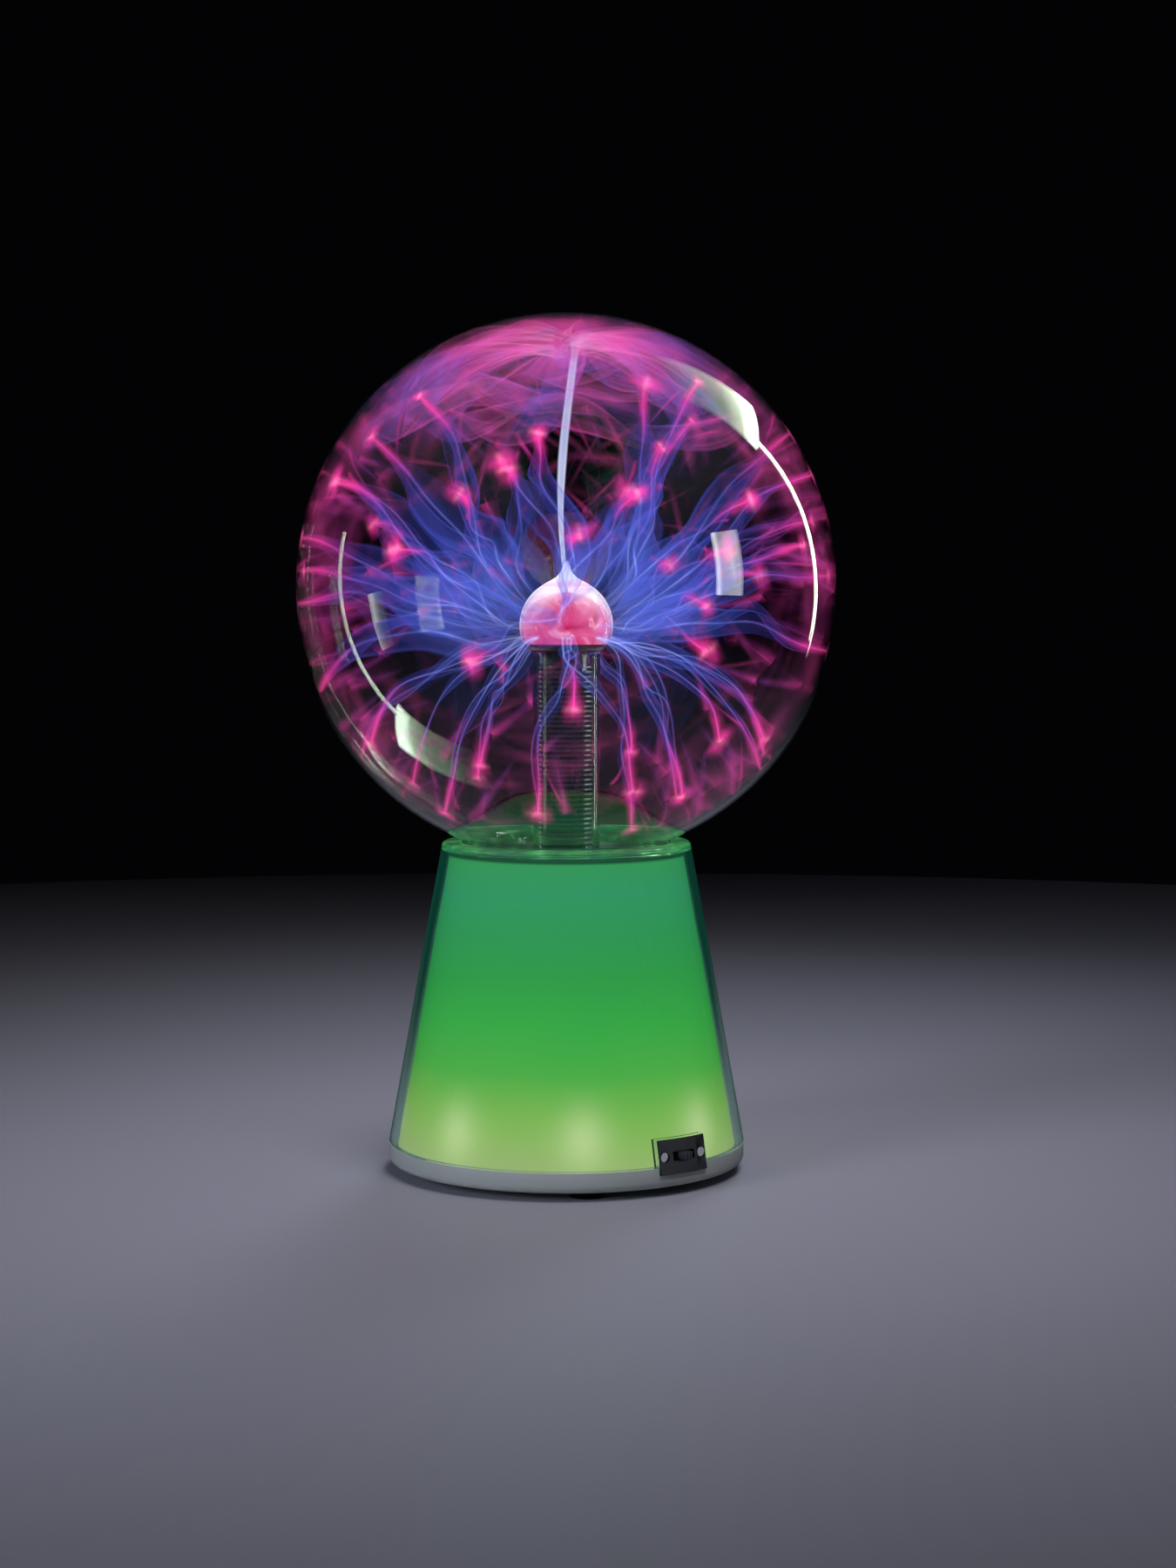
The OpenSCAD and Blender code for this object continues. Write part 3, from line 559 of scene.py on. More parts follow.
def softCopy(node, name, bevel):
    # a copy of the CAD solid with its edges rounded as moulding leaves them
    piece = bpy.data.objects.new(name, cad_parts[node].data.copy())
    scene.collection.objects.link(piece)
    pick(piece)
    bpy.ops.object.mode_set(mode="EDIT")
    bpy.ops.mesh.select_all(action="SELECT")
    bpy.ops.mesh.remove_doubles(threshold=2e-6)
    bpy.ops.mesh.dissolve_limited(angle_limit=math.radians(1.5))
    bpy.ops.object.mode_set(mode="OBJECT")
    edge = piece.modifiers.new("edge", "BEVEL")
    edge.width = bevel * mm
    edge.segments = 2
    edge.limit_method = "ANGLE"
    edge.angle_limit = math.radians(35)
    applyAll(piece)
    smooth(piece, 30)
    return piece


def moulded(name, tone, roughness, grainSize=0.35, grainDepth=0.02, mottle=0.08, settings={}):
    # one moulded or coated surface: fine grain in the surface, slight change of tone over centimetres
    material, tree, shader = newMaterial(name, dict({"Roughness": roughness}, **settings))
    where = addNode(tree, "TexCoord").outputs["Object"]
    cloudy = addNode(tree, "TexNoise", {"Scale": 70, "Detail": 3}, {"Vector": where})
    base = linear(tone)
    darker = [c * (1 - mottle) for c in base[:3]] + [1]
    lighter = [min(c * (1 + mottle), 1) for c in base[:3]] + [1]
    tint = addNode(tree, "Mix", {"data_type": "RGBA", 6: darker, 7: lighter}, {0: cloudy})
    roughen(tree, shader, where, 1 / (grainSize * mm), 2, 0.4, grainDepth * mm)
    rub = addNode(tree, "MapRange", {"To Min": roughness * 0.85, "To Max": min(roughness * 1.2, 1)},
                  {"Value": cloudy})
    link(tree, shader, {"Base Color": tint.outputs[2], "Roughness": rub})
    return material


finishes = {  # what each slot is made of: name, tone, roughness, grain's size and depth, mottle
    "pale_tray": ("mouldedAbsPale", "#c9cfc6", 0.38, 0.5, 0.03),
    "black_plastic": ("mouldedAbsBlack", "#17181a", 0.36, 0.4, 0.03),
    "black_rubber": ("mouldedRubberBlack", "#17171a", 0.7, 0.5, 0.05),
    "black_insulation": ("ribbedNylonBlack", "#08080b", 0.25, 0.5, 0.03),
    "red_wire": ("siliconeLeadRed", "#a8221c", 0.4, 0.6, 0.02),
    "white_wire": ("pvcLeadWhite", "#dcdbd2", 0.4, 0.6, 0.02),
    "grey_wire": ("pvcLeadGrey", "#3a3b3d", 0.42, 0.6, 0.02),
    "white_board": ("whiteSolderMask", "#dcdcd2", 0.35, 0.6, 0.01),
    "green_board": ("greenSolderMask", "#1d5a34", 0.3, 0.6, 0.01, 0.25),
    "ferrite": ("sinteredFerrite", "#26262a", 0.65, 0.25, 0.04, 0.2),
    "coil_resin": ("pottedWindingResin", "#4a1712", 0.28, 0.8, 0.03),
    "black_epoxy": ("mouldedEpoxyBlack", "#141414", 0.5, 0.2, 0.02),
    "blue_sleeve": ("shrunkSleeveBlue", "#1b2244", 0.3, 0.8, 0.02),
    "orange_coating": ("dippedEpoxyOrange", "#a8431a", 0.35, 0.8, 0.05),
    "resistor_body": ("lacqueredResistor", "#b89a66", 0.4, 0.5, 0.03),
}
metals = {
    "dark_metal": ("blackenedSteel", "#4a4a50", 0.4, 0.3, 0.01),
    "screw_steel": ("zincPlatedSteel", "#b8babd", 0.3, 0.2, 0.01),
    "switch_steel": ("tinnedSteelSheet", "#9da0a4", 0.35, 0.3, 0.01),
    "heat_sink_aluminium": ("extrudedAluminium", "#b9bcc0", 0.38, 0.15, 0.02),
    "contact_brass": ("turnedBrass", "#c9a24e", 0.25, 0.2, 0.005),
    "microphone_can": ("drawnAluminiumCan", "#a9abad", 0.32, 0.2, 0.005),
}
finishes = {slot: moulded(*row) for slot, row in finishes.items()}
for slot, row in metals.items():
    finishes[slot] = moulded(*row, settings={"Metallic": 1.0})
finishes["white_plastic"] = moulded("mouldedAbsWhite", "#8fb094", 0.4, settings={
    "Emission Color": linear("#2f9a44"), "Emission Strength": 0.025})  # soaked in the lamps' light
lampLens, tree, shader = newMaterial("litLampResin", {  # clear resin over a coloured lamp, glowing
    "Base Color": linear("#f0f4d8"), "Roughness": 0.15, "Emission Strength": 3.0})
where = addNode(tree, "TexCoord").outputs["Object"]
cells = addNode(tree, "TexNoise", {"Scale": 600}, {"Vector": where})
hot = addNode(tree, "ValToRGB", {"stops": [(0.3, "#a8e080"), (0.7, "#f0ffd0")]}, {"Fac": cells})
link(tree, shader, {"Emission Color": hot})
finishes["lamp_lens"] = lampLens
finishes["stem_glass"] = stemGlass

copies = {  # CAD node: name of the piece, rounding in millimetres, slot
    "bottom_tray": ("tray", 0.3, "pale_tray"),
    "switch_bezel": ("switch_plate", 0.25, "black_plastic"),
    "switch_slider": ("switch_knob", 0.12, "black_plastic"),
    "rear_plate": ("rear_plate_moulded", 0.25, "black_plastic"),
    "power_jack": ("power_socket", 0.2, "black_plastic"),
}
knobNylon = moulded("mouldedNylonDark", "#3c3e44", 0.42, 0.4, 0.03)
for node, (name, rounding, slot) in copies.items():
    piece = softCopy(node, name, rounding)
    if node == "switch_slider":
        dress(piece, knobNylon, [node], "slider")
    else:
        dress(piece, finishes[slot], [node])
    if node != "bottom_tray":
        fittings.objects.link(piece)
footOutline = [(0, 0.35), (3.2, 0.35), (3.8, 0), (5.6, 0), (6.2, 0.25), (6.5, 0.9), (6.5, 3.4), (6.3, 3.6),
               (0, 3.6)]
for node in ("foot_front", "foot_rear_right", "foot_rear_left"):
    low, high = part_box(node)
    piece = lathe(node + "_rubber", footOutline, 48, closed=False)
    pick(piece)
    piece.location = ((low.x + high.x) / 2, (low.y + high.y) / 2, 0)
    bpy.ops.object.transform_apply(location=True, rotation=False, scale=False)
    dress(piece, finishes["black_rubber"], [node])

for node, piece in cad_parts.items():
    if "screw" in node or node == "microphone":
        fittings.objects.link(piece)
    if node not in replaced:
        slot = piece.data.materials[0].name
        for i in range(len(piece.data.materials)):
            piece.data.materials[i] = finishes[slot]
print("fitted parts finished")


# ---- plasma: the glowing gas inside the globe ----

rng = random.Random(11)
steps = 36  # along a stream
glassGap = 0.4  # the gas keeps this far from the glass


def onGlass(point, gap):  # the nearest place just inside the glass
    return centre + (point - centre).normalized() * (innerR - gap * mm)


def ribbonPiece(name, ribbons, along, across):
    # a strip is modelled once and repeated, then each copy's points are laid along its own path.
    # ribbon: points, side directions and half widths at each step, a seed and a strength at each step
    pickNothing()
    bpy.ops.mesh.primitive_grid_add(x_subdivisions=along, y_subdivisions=across, size=1)
    piece = bpy.context.object
    piece.name = name
    repeat = piece.modifiers.new("repeat", "ARRAY")
    repeat.count = len(ribbons)
    repeat.relative_offset_displace = (0, 2, 0)
    bpy.ops.object.modifier_apply(modifier=repeat.name)
    mesh = piece.data
    marks = mesh.color_attributes.new(name="stream", type="FLOAT_COLOR", domain="POINT")
    places, values = [], []
    for vertex in mesh.vertices:
        x, y = vertex.co.x + 0.5, vertex.co.y + 0.5
        which = int(y // 2)
        step, share = round(x * along), y - 2 * which
        ribbon = ribbons[which]
        place = ribbon["points"][step] + ribbon["sides"][step] * ((share - 0.5) * 2 * ribbon["widths"][step])
        if (place - centre).length > innerR - glassGap * mm:  # nothing passes through the glass
            place = onGlass(place, glassGap)
        places.extend(place)
        values.extend((x, share, ribbon["seed"], ribbon["strength"][step]))
    mesh.vertices.foreach_set("co", places)
    marks.data.foreach_set("color", values)
    mesh.update()
    for polygon in mesh.polygons:
        polygon.use_smooth = True
    piece.visible_shadow = piece.visible_diffuse = False
    return piece


def layGas(name, ribbons, along, across, material):
    dress(ribbonPiece(name, ribbons, along, across), material)


def frameAlong(points, turn, twist):  # side directions along a path, turned round it by an angle in degrees
    sides = []
    last = len(points) - 1
    for i in range(last + 1):
        ahead = (points[min(i + 1, last)] - points[max(i - 1, 0)]).normalized()
        flat = ahead.cross(up)
        flat = flat.normalized() if flat.length > 0.05 else Vector((1, 0, 0)) - ahead * ahead.x
        rise = flat.cross(ahead).normalized()
        w = math.radians(turn + twist * i / last)
        sides.append(rise * math.cos(w) + flat * math.sin(w))
    return sides


def bezier(a, b, c, d, t):
    s = 1 - t
    return a * s ** 3 + b * (3 * s * s * t) + c * (3 * s * t * t) + d * t ** 3


# Several streams leave the bulb together, with dark gaps between: degrees from one bundle to the next
bundles = {"turn": 40, "climb": 20, "lowest": -14, "highest": 52}


def streamPath(azimuth, elevation, sway=3.0):
    # from the bulb to a point on the glass, meeting it square on; low ones fall as they go
    out = aim(azimuth, elevation)
    turn = bundles["turn"] * round(azimuth / bundles["turn"]) + rng.uniform(-6, 6)
    climb = bundles["climb"] * round(elevation * 0.6 / bundles["climb"]) + rng.uniform(-5, 5)
    leave = aim(turn, max(bundles["lowest"], min(bundles["highest"], climb)))
    start = bulbCentre + leave * (bulbR + 0.3 * mm)
    end = centre + out * (innerR - 0.8 * mm)
    span = (end - start).length
    if elevation < -20:
        first = start + leave * span * 0.28
        second = end + up * span * 0.34 - out * span * 0.10
    else:
        first = start + leave * span * 0.42
        second = end - out * span * 0.34 + up * span * 0.05
    side = out.cross(up).normalized()
    phases = [rng.uniform(0, math.tau) for _ in range(4)]
    points = []
    for i in range(steps + 1):
        t = i / steps
        push = sway * mm * (math.sin(math.pi * t) ** 0.8 if 0 < t < 1 else 0)
        points.append(bezier(start, first, second, end, t)
                      + side * push * (math.sin(7 * t + phases[0]) + 0.4 * math.sin(17 * t + phases[1]))
                      + up * push * (math.sin(6 * t + phases[2]) + 0.35 * math.sin(15 * t + phases[3])))
    return points


def nearPath(points, spread):  # a second path that wanders beside the first
    phases = [rng.uniform(0, math.tau) for _ in range(4)]
    result = []
    for i, p in enumerate(points):
        t = i / (len(points) - 1)
        hold = math.sin(math.pi * t) * spread * mm
        result.append(p + Vector((math.sin(5 * t + phases[0]), math.sin(6 * t + phases[1]),
                                  math.sin(7 * t + phases[2]) + 0.5 * math.sin(13 * t + phases[3]))) * hold)
    return result


def profile(steps, stops, scale=1.0):  # a value along the path, eased between stops of (place, value)
    values = []
    for i in range(steps + 1):
        t = i / steps
        for (a, u), (b, v) in zip(stops, stops[1:]):
            if a <= t <= b + 1e-9:
                k = (t - a) / (b - a)
                k = k * k * (3 - 2 * k)
                values.append((u + (v - u) * k) * scale)
                break
    return values


def strip(points, sides, widths, strength, seed=None):
    return {"points": points, "sides": sides, "widths": widths, "strength": strength,
            "seed": rng.random() if seed is None else seed}


def crossed(points, widths, seed, strength):  # a thread: two strips at right angles, seen from all sides
    turn = rng.uniform(0, 90)
    return [strip(points, frameAlong(points, turn + k, 0), widths, strength, seed) for k in (0, 90)]


# across: from a strip's middle to its edge; through: from one edge to the other; streaks: how many along
# and across, and their detail; silk and beat: how the streaks show
densities = {
    "veil": {"across": [(0, 0.34), (0.5, 0.32), (0.76, 0.40), (0.87, 0.72), (0.94, 0.36), (1, 0.0)],
             "streaks": (1.3, 1.7, 2.0),
             "silk": [(0.30, 0.06), (0.42, 0.34), (0.54, 0.55), (0.61, 0.95), (0.70, 0.55), (0.85, 0.35)]},
    "thread": {"across": [(0, 1.0), (0.2, 0.7), (0.45, 0.24), (0.72, 0.06), (1, 0.0)],
               "streaks": (6.0, 0.5, 2.0), "beat": (0.3, 0.7, 0.55)},
    "soft": {"across": [(0, 1.0), (0.3, 0.72), (0.6, 0.3), (0.85, 0.06), (1, 0.0)],
             "streaks": (2.5, 2.5, 3.0), "beat": (0.3, 0.75, 0.25)},
    "main": {"across": [(0, 0.55), (0.3, 0.42), (0.55, 0.75), (0.68, 0.9), (0.85, 0.22), (1, 0.0)],
             "streaks": (5.0, 3.0, 2.0), "beat": (0.3, 0.7, 0.6)},
    "skin": {"through": [(0, 0.015), (0.2, 0.08), (0.9, 0.11), (1, 0.015)]},
}


def glowMaterial(name, glow, colours, kind, share=1.0):
    # ionised gas: gives light, mirrors and shades nothing, and shows what is behind it.
    # colours: stops along the stream; kind: one of the densities, of which share is used
    look = densities[kind]
    material, tree, shader = newMaterial(name, {
        "Base Color": (0, 0, 0, 1), "Roughness": 1.0, "Specular IOR Level": 0.0, "Emission Strength": glow})
    mark = addNode(tree, "Attribute", {"attribute_name": "stream"})
    split = addNode(tree, "SeparateColor", {}, {0: mark.outputs["Color"]})
    tone = addNode(tree, "ValToRGB", {"stops": colours}, {"Fac": split.outputs["Red"]})
    if "through" in look:
        dense = addNode(tree, "ValToRGB", {"stops": look["through"]}, {"Fac": split.outputs["Green"]})
    else:
        off = addNode(tree, "Math", {"operation": "MULTIPLY_ADD", 1: 2.0, 2: -1.0},
                      {0: split.outputs["Green"]})
        fromMiddle = addNode(tree, "Math", {"operation": "ABSOLUTE"}, {0: off})
        across = addNode(tree, "ValToRGB", {"stops": look["across"]}, {"Fac": fromMiddle})
        place = addNode(tree, "CombineXYZ")  # the streaks run with the stream, and differ by its seed
        long, wide, detail = look["streaks"]
        for i, (channel, factor) in enumerate((("Red", long), ("Green", wide), ("Blue", 37.0))):
            part = addNode(tree, "Math", {"operation": "MULTIPLY", 1: factor}, {0: split.outputs[channel]})
            link(tree, place, {i: part})
        streaks = addNode(tree, "TexNoise", {"Scale": 1.0, "Detail": detail, "Distortion": 0.4},
                          {"Vector": place})
        if "silk" in look:
            beat = addNode(tree, "ValToRGB", {"stops": look["silk"]}, {"Fac": streaks})
        else:
            low, high, least = look["beat"]
            beat = addNode(tree, "MapRange", {"From Min": low, "From Max": high, "To Min": least},
                           {"Value": streaks})
        whole = addNode(tree, "Math", {"operation": "MULTIPLY"}, {0: across, 1: beat})
        dense = addNode(tree, "Math", {"operation": "MULTIPLY", 1: share}, {0: whole})
    alpha = addNode(tree, "Math", {"operation": "MULTIPLY", "use_clamp": True},
                    {0: dense, 1: mark.outputs["Alpha"]})
    link(tree, shader, {"Emission Color": tone, "Alpha": alpha})
    material.cycles.emission_sampling = "NONE"
    return material


# Where the streams meet the glass: azimuth, elevation, strength
reaches = [
    (-42, 41, 1.0), (-52, 31, 0.9), (-60, 21, 1.0), (-22, 18, 1.0), (-162, 30, 0.7), (-6, 31, 1.0),
    (-36, 7, 1.0),
    (-12, 23, 0.9), (3, 10, 0.9), (15, 18, 1.0), (23, 44, 0.8), (41, 45, 1.0), (22, 28, 0.8), (42, 17, 0.9),
    (86, 24, 1.0), (34, 7, 0.9), (57, 8, 1.0), (21, 4, 0.7), (29, -4, 0.7), (30, -13, 0.8), (-78, -23, 1.0),
    (-19, -15, 0.8), (-86, 10, 0.9), (-95, 3, 0.8), (-80, -4, 0.8), (80, -14, 1.0), (96, 2, 0.8),
    (74, 33, 0.8),
    (104, 14, 0.8), (-104, 24, 0.8),
    (-128, 14, 0.6), (165, 22, 0.6), (140, 40, 0.7), (130, 2, 0.6),
]
lowReaches = [
    (2, -25, 0.9), (40, -33, 1.0), (57, -33, 1.0), (38, -48, 0.9), (20, -46, 0.9), (-9, -53, 0.7),
    (-47, -54, 0.8),
    (-56, -34, 0.8), (72, -42, 0.7), (-24, -42, 0.6), (28, -60, 0.6), (100, -40, 0.7), (160, -42, 0.7),
    (-150, -46, 0.7), (-112, -50, 0.7), (130, -56, 0.6), (-84, -40, 0.6),
]
veils, threads, tips, spots = [], [], [], []


def addTip(path, azimuth, elevation, strength):
    # the bright pink end of a stream: a streak that leads in, a few prongs, and a spot on the glass
    out = aim(azimuth, elevation)
    side = out.cross(up).normalized()
    over = side.cross(out)
    seed = rng.random()
    lead = [path[int(len(path) * 0.72) + round(i * (len(path) * 0.27) / 8)] for i in range(9)]
    tips.extend(crossed(lead, profile(8, [(0, 1.0), (0.7, 3.4), (1, 2.0)], mm), seed,
                        profile(8, [(0, 0.0), (0.5, 0.45), (0.8, 0.9), (1, 0.35)], strength)))
    for _ in range(rng.choice((0, 1, 1, 2))):
        w = rng.uniform(0, math.tau)
        far = (side * math.cos(w) + over * math.sin(w)) * rng.uniform(7, 14) * mm
        end = onGlass(path[-1] + far, 0.7)
        fork = path[int(len(path) * rng.uniform(0.74, 0.86))]
        bend = (fork + end) / 2 + out * rng.uniform(2, 6) * mm
        prong = [bezier(fork, fork.lerp(bend, 0.66), end.lerp(bend, 0.66), end, i / 8) for i in range(9)]
        tips.extend(crossed(prong, profile(8, [(0, 0.6), (0.6, 1.2), (1, 1.4)], mm), rng.random(),
                            profile(8, [(0, 0.2), (0.8, 1.0), (1, 0.3)], strength * 0.4)))
    half = rng.uniform(3.2, 6.2) * mm
    long = path[-1] - path[-5]
    long = long - out * long.dot(out)
    long = long.normalized() if long.length > 0.0008 else over
    middle = centre + out * (innerR - 0.5 * mm)
    line = [onGlass(middle + long * half * 1.5 * (i / 8 * 2 - 1), 0.5) for i in range(9)]
    spots.append(strip(line, [out.cross(long)] * 9, [half] * 9,
                       profile(8, [(0, 0), (0.5, 1), (1, 0)], strength)))


for azimuth, elevation, strength in reaches:
    path = streamPath(azimuth, elevation)
    broad = rng.uniform(0.7, 1.25) * mm
    veils.append(strip(path, frameAlong(path, rng.uniform(-50, 50), rng.uniform(-60, 60)),
                       profile(steps, [(0, 2.8), (0.3, 11.0), (0.6, 8.5), (1, 1.2)], broad),
                       profile(steps, [(0, 0.1), (0.25, 1.0), (0.7, 0.6), (1, 0.3)], strength)))
    beside = nearPath(path, 4)
    veils.append(strip(beside, frameAlong(beside, rng.uniform(-90, 90), rng.uniform(-90, 90)),
                       profile(steps, [(0, 1.2), (0.4, 4.0), (0.7, 3.0), (1, 0.8)], broad),
                       profile(steps, [(0, 0.1), (0.3, 0.9), (0.8, 0.6), (1, 0.3)], strength)))
    for k in range(rng.choice((1, 1, 2))):
        line = path if k == 0 else nearPath(path, rng.uniform(2, 6))
        threads += crossed(line, profile(steps, [(0, 1.0), (0.4, 1.2), (1, 1.1)], mm), rng.random(),
                           profile(steps, [(0, 0.05), (0.15, 0.2), (0.32, 0.7), (0.5, 0.35), (0.8, 0.5),
                                           (1, 0.8)],
                                   strength * (0.3 if k == 0 else 0.16)))
    addTip(path, azimuth, elevation, strength)

for azimuth, elevation, strength in lowReaches:
    path = streamPath(azimuth, elevation, 2.2)
    veils.append(strip(path, frameAlong(path, rng.uniform(-40, 40), rng.uniform(-60, 60)),
                       profile(steps, [(0, 1.0), (0.3, 3.4), (0.6, 2.6), (1, 1.2)], mm),
                       profile(steps, [(0, 0.8), (0.4, 0.7), (1, 0.3)], strength)))
    for k in range(rng.choice((1, 2))):
        line = path if k == 0 else nearPath(path, rng.uniform(1.5, 4))
        threads += crossed(line, profile(steps, [(0, 1.0), (0.3, 0.8), (1, 0.9)], mm), rng.random(),
                           profile(steps, [(0, 0.25), (0.2, 0.6), (0.6, 0.4), (1, 0.8)],
                                   strength * (0.4 if k == 0 else 0.25)))
    addTip(path, azimuth, elevation, strength * 0.8)

layGas("plasma_veils", veils, steps, 8, glowMaterial("glowingGasVeils", 1.9, [
    (0.0, "#747cc4"), (0.15, "#4a58b4"), (0.5, "#3c47ac"), (0.75, "#4a40a8"), (0.88, "#83359a"),
    (1.0, "#b83788")],
    "veil"))
layGas("plasma_threads", threads, steps, 4, glowMaterial("glowingGasThreads", 3.5, [
    (0.0, "#c9cdf6"), (0.12, "#95a0ea"), (0.5, "#6a78e0"), (0.72, "#7a5fd0"), (0.85, "#b03fa8"),
    (1.0, "#d8408f")],
    "thread"))
layGas("plasma_tips", tips, 8, 4, glowMaterial("glowingGasTips", 2.1, [
    (0.0, "#7444b4"), (0.4, "#aa2c88"), (0.8, "#c02e78"), (1.0, "#cc3a80")], "soft"))
layGas("plasma_spots", spots, 8, 6, glowMaterial("glowingGasSpots", 3.0, [
    (0.0, "#a8287d"), (0.38, "#cc3080"), (0.5, "#ee6a9c"), (0.62, "#cc3080"), (1.0, "#a8287d")], "soft"))
print("streams laid:", len(veils), "veils,", len(threads), "threads,", len(tips), "tips")

# The main thread rises from the bulb's cap to the top of the globe
main, risen = [], []
capTop = bulbCentre + up * (bulbR + 1.2 * mm)
crown = centre + up * (innerR - 8 * mm)
for i in range(steps + 1):
    t = i / steps
    sway = Vector((-1.4 * t ** 0.5 - 3.0 * math.sin(math.pi * t) * (1 - t) + 5.4 * t ** 2.2,
                   1.2 * math.sin(5 * t), 0))
    risen.append(capTop.lerp(crown, t) + sway * mm)
for turn in (0, 45, 90, 135):
    side = Vector((math.cos(math.radians(turn)), math.sin(math.radians(turn)), 0))
    main.append(strip(risen, [side] * (steps + 1),
                      profile(steps, [(0, 0.9), (0.2, 1.2), (0.5, 1.9), (0.8, 1.8), (0.92, 1.7),
                                      (1, 4.0)], mm),
                      profile(steps, [(0, 1.0), (0.85, 0.9), (1, 0.25)]), 0.1 + turn / 400))
layGas("plasma_main_thread", main, steps, 10, glowMaterial("glowingGasMainThread", 1.35, [
    (0.0, "#eef0ff"), (0.1, "#cdd0ee"), (0.6, "#b4b8e0"), (0.85, "#c4b8e4"), (1.0, "#e89ccc")], "main"))

# Where it meets the top it spreads into a pink cloud: silky strips that hug the inside of the glass
crownLook = {"rising": 40, "reach": (24, 66), "sweeping": 22, "sweep": (45, 95)}
crownStrips, haze, strokes = [], [], []
for i in range(crownLook["rising"]):
    azimuth = rng.uniform(-180, 180)
    reach = rng.uniform(*crownLook["reach"])
    lean = rng.uniform(-25, 25)
    depth = rng.uniform(1.5, 9.0)
    line = []
    for k in range(13):
        t = k / 12
        polar = 3 + (reach - 3) * t
        line.append(centre + aim(azimuth + lean * t * t, 90 - polar)
                    * (innerR - (depth + 6 * (1 - t) ** 2 + 3 * math.sin(3 * t + i)) * mm))
    crownStrips.append(strip(line, frameAlong(line, rng.uniform(-35, 35) + 90, rng.uniform(-40, 40)),
                             profile(12, [(0, 2.5), (0.5, 8.0), (1, 11.0)], mm),
                             profile(12, [(0, 0.3), (0.25, 0.75), (0.6, 0.4), (1, 0.0)])))
for i in range(crownLook["sweeping"]):  # and strips that sweep round under it
    begin, sweep = rng.uniform(-180, 180), rng.choice((-1, 1)) * rng.uniform(*crownLook["sweep"])
    polar, depth, phase = rng.uniform(22, 52), rng.uniform(4, 16), rng.uniform(0, math.tau)
    line = [centre + aim(begin + sweep * k / 12, 90 - polar - 5 * math.sin(k / 3 + phase))
            * (innerR - (depth + 2.5 * math.sin(k / 2.2 + phase)) * mm) for k in range(13)]
    crownStrips.append(strip(line, frameAlong(line, rng.uniform(-60, 60), rng.uniform(-50, 50)),
                             profile(12, [(0, 1.5), (0.5, 6.5), (1, 2.0)], mm),
                             profile(12, [(0, 0.0), (0.5, 0.5), (1, 0.0)])))
layGas("plasma_crown", crownStrips, 12, 8, glowMaterial("glowingGasCrown", 2.8, [
    (0.0, "#f2b4d6"), (0.2, "#cf5c9e"), (0.45, "#b04088"), (0.65, "#6a48a8"), (0.85, "#4a44a8"),
    (1.0, "#4a4cb0")],
    "veil"))

# Haze against the glass: fins that stand square to it, so that it gathers along the outline
hazeLook = {"fins": 420, "long": (28, 62), "deep": (6, 13)}
for i in range(hazeLook["fins"]):
    polar = math.degrees(math.acos(1 - 2 * rng.random() ** 1.5 * 0.92))
    out = aim(rng.uniform(-180, 180), 90 - polar)
    side = out.cross(up).normalized() if abs(out.z) < 0.98 else Vector((1, 0, 0))
    w = rng.uniform(0, math.tau)
    along = side * math.cos(w) + side.cross(out) * math.sin(w)
    long = rng.uniform(*hazeLook["long"]) * mm
    deep = rng.uniform(*hazeLook["deep"]) * mm
    line = []
    for k in range(9):
        flat = out * globeR + along * long * (k / 8 - 0.5)
        line.append(centre + flat.normalized() * (innerR - deep / 2 - glassGap * mm))
    top = max(0.0, math.cos(math.radians(polar)))
    strength = (0.32 + 0.6 * top ** 1.2) * rng.choice((0.3, 0.7, 1.0, 1.5))
    haze.append(strip(line, [(p - centre).normalized() for p in line], [deep / 2] * 9,
                      profile(8, [(0, 0), (0.5, 1), (1, 0)], strength)))
layGas("plasma_haze", haze, 8, 6, glowMaterial("glowingGasHaze", 1.65, [
    (0.0, "#a03a90"), (0.5, "#cc4488"), (1.0, "#a03a90")], "soft", 0.30))

# Short strokes that run in from the glass all round
strokeLook = {"count": 115, "inner": (66, 84), "lean": 0.16}
for i in range(strokeLook["count"]):
    azimuth = rng.uniform(-180, 180)
    out = aim(azimuth, math.degrees(math.asin(rng.uniform(-0.85, 0.75))))
    lean = Vector((rng.uniform(-1, 1), rng.uniform(-1, 1), rng.uniform(-0.6, 0.9))) * strokeLook["lean"]
    inner = rng.uniform(*strokeLook["inner"]) * mm
    line = [centre + (out + lean * (1 - k / 8)).normalized() * (inner + (innerR - 0.6 * mm - inner) * k / 8)
            for k in range(9)]
    strokes += crossed(line, profile(8, [(0, 0.9), (0.6, 3.0), (1, 4.4)], mm), rng.random(),
                       [rng.uniform(0.5, 1.0) * v for v in profile(8, [(0, 0.0), (0.7, 0.55), (1, 0.9)])])
layGas("plasma_strokes", strokes, 8, 4, glowMaterial("glowingGasStrokes", 2.0, [
    (0.0, "#6a48c8"), (0.4, "#a03fb0"), (1.0, "#e0409a")], "soft", 0.26))
print("crown, haze and strokes made")

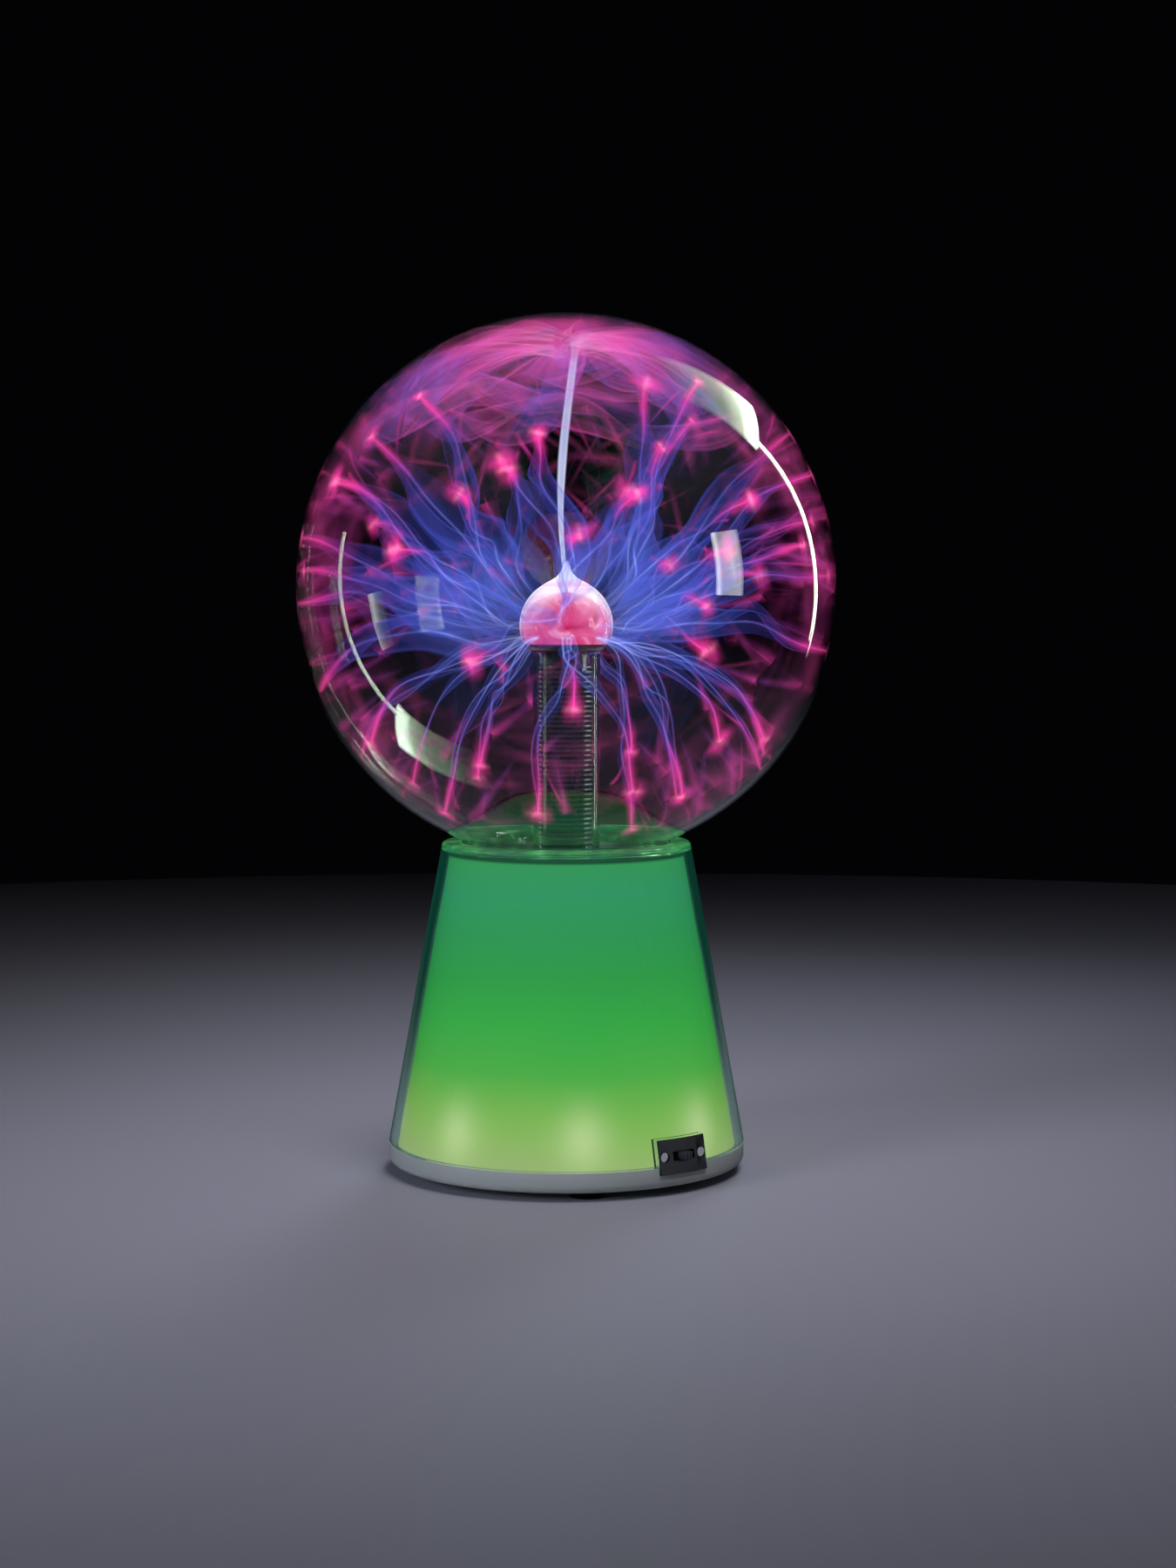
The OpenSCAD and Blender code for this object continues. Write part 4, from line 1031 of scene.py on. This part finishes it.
# Inside the bulb: a glowing pink ball, flat below and flattened above
pink = {"below": 6.6, "above": 12.4}  # from the bulb's middle
z0 = bulbCentre.z / mm
glowR = bulbR / mm - bulb["wall"] - 0.05
outline = [(0, z0 - pink["below"] + 0.3), (0.6 * glowR, z0 - pink["below"])]
for r, z in arc(0, z0, glowR, -math.degrees(math.asin(pink["below"] / glowR)), 90, 40):
    outline.append((max(r, 0), z if z < z0 else z0 + (z - z0) * pink["above"] / glowR))
glowPiece = lathe("bulb_glow", outline, 96, closed=False)
pinkGlow, tree, shader = newMaterial("glowingGasInBulb", {  # dense glow on the conductor, patchy pink
    "Base Color": linear("#2a0512"), "Roughness": 0.6, "Emission Strength": 1.15})
where = addNode(tree, "TexCoord").outputs["Object"]
patch = addNode(tree, "TexNoise", {"Scale": 95, "Detail": 3, "Distortion": 1.2}, {"Vector": where})
patchTone = addNode(tree, "ValToRGB", {"stops": [
    (0.28, "#a01c50"), (0.42, "#cf3a7f"), (0.54, "#d95a94"), (0.64, "#f09ac4"), (0.75, "#ffe4f2")]},
    {"Fac": patch})
link(tree, shader, {"Emission Color": patchTone})

# and a pale cap over the bulb that draws up into the main thread
capOutline = [(9.6, 14.4), (7.6, 15.7), (5.6, 16.7), (3.7, 17.9), (2.4, 19.3), (1.6, 20.8), (1.2, 22.4),
              (1.0, 24),
              (0.5, 24), (0.8, 20.4), (2.6, 17.7), (5.4, 16.3), (7.4, 15.4)]
capPiece = lathe("bulb_cap_glow", [(r, z0 + z) for r, z in capOutline], 64)
capGlow, tree, shader = newMaterial("glowingGasCap", {
    "Base Color": (0, 0, 0, 1), "Roughness": 1.0, "Specular IOR Level": 0.0, "Emission Strength": 1.6})
where = addNode(tree, "TexCoord").outputs["Object"]
split = addNode(tree, "SeparateXYZ", {}, {0: where})
climb = addNode(tree, "MapRange", {"From Min": (z0 + 14) * mm, "From Max": (z0 + 24) * mm},
                {"Value": split.outputs["Z"]})
tone = addNode(tree, "ValToRGB", {"stops": [(0, "#f090c0"), (0.35, "#f2ecf8"), (1, "#e4e6ff")]},
               {"Fac": climb})
fade = addNode(tree, "ValToRGB", {"stops": [(0, 0.0), (0.1, 0.6), (0.25, 0.95), (0.8, 0.7), (1, 0.0)]},
               {"Fac": climb})
link(tree, shader, {"Emission Color": tone, "Alpha": fade})
for piece, material in ((glowPiece, pinkGlow), (capPiece, capGlow)):
    material.cycles.emission_sampling = "NONE"
    dress(piece, material)
    piece.visible_shadow = piece.visible_diffuse = False

# A pale skin of light round the bulb, thick over its top: fins along its meridians, dense at its outline
skin = []
skinFins = 240
far = bulbR / mm + 0.35
for i in range(skinFins):
    line, halves = [], []
    for k in range(25):
        polar = math.radians(4 + 108 * k / 24)
        near = glowR
        if polar < math.pi / 2:
            near = 1 / math.hypot(math.sin(polar) / glowR, math.cos(polar) / pink["above"])
        way = aim(i * 360 / skinFins, 90 - math.degrees(polar))
        line.append(bulbCentre + way * (near + far) / 2 * mm)
        halves.append((far - near) / 2 * mm)
    skin.append(strip(line, [(p - bulbCentre).normalized() for p in line], halves,
                      profile(24, [(0, 1.0), (0.7, 0.9), (1, 0.2)])))
layGas("bulb_skin_glow", skin, 24, 4, glowMaterial("glowingGasSkin", 1.7, [
    (0.0, "#ffffff"), (0.45, "#f0e4fa"), (0.75, "#f4c8e4"), (1.0, "#e070b0")], "skin"))
print("bulb glow made")
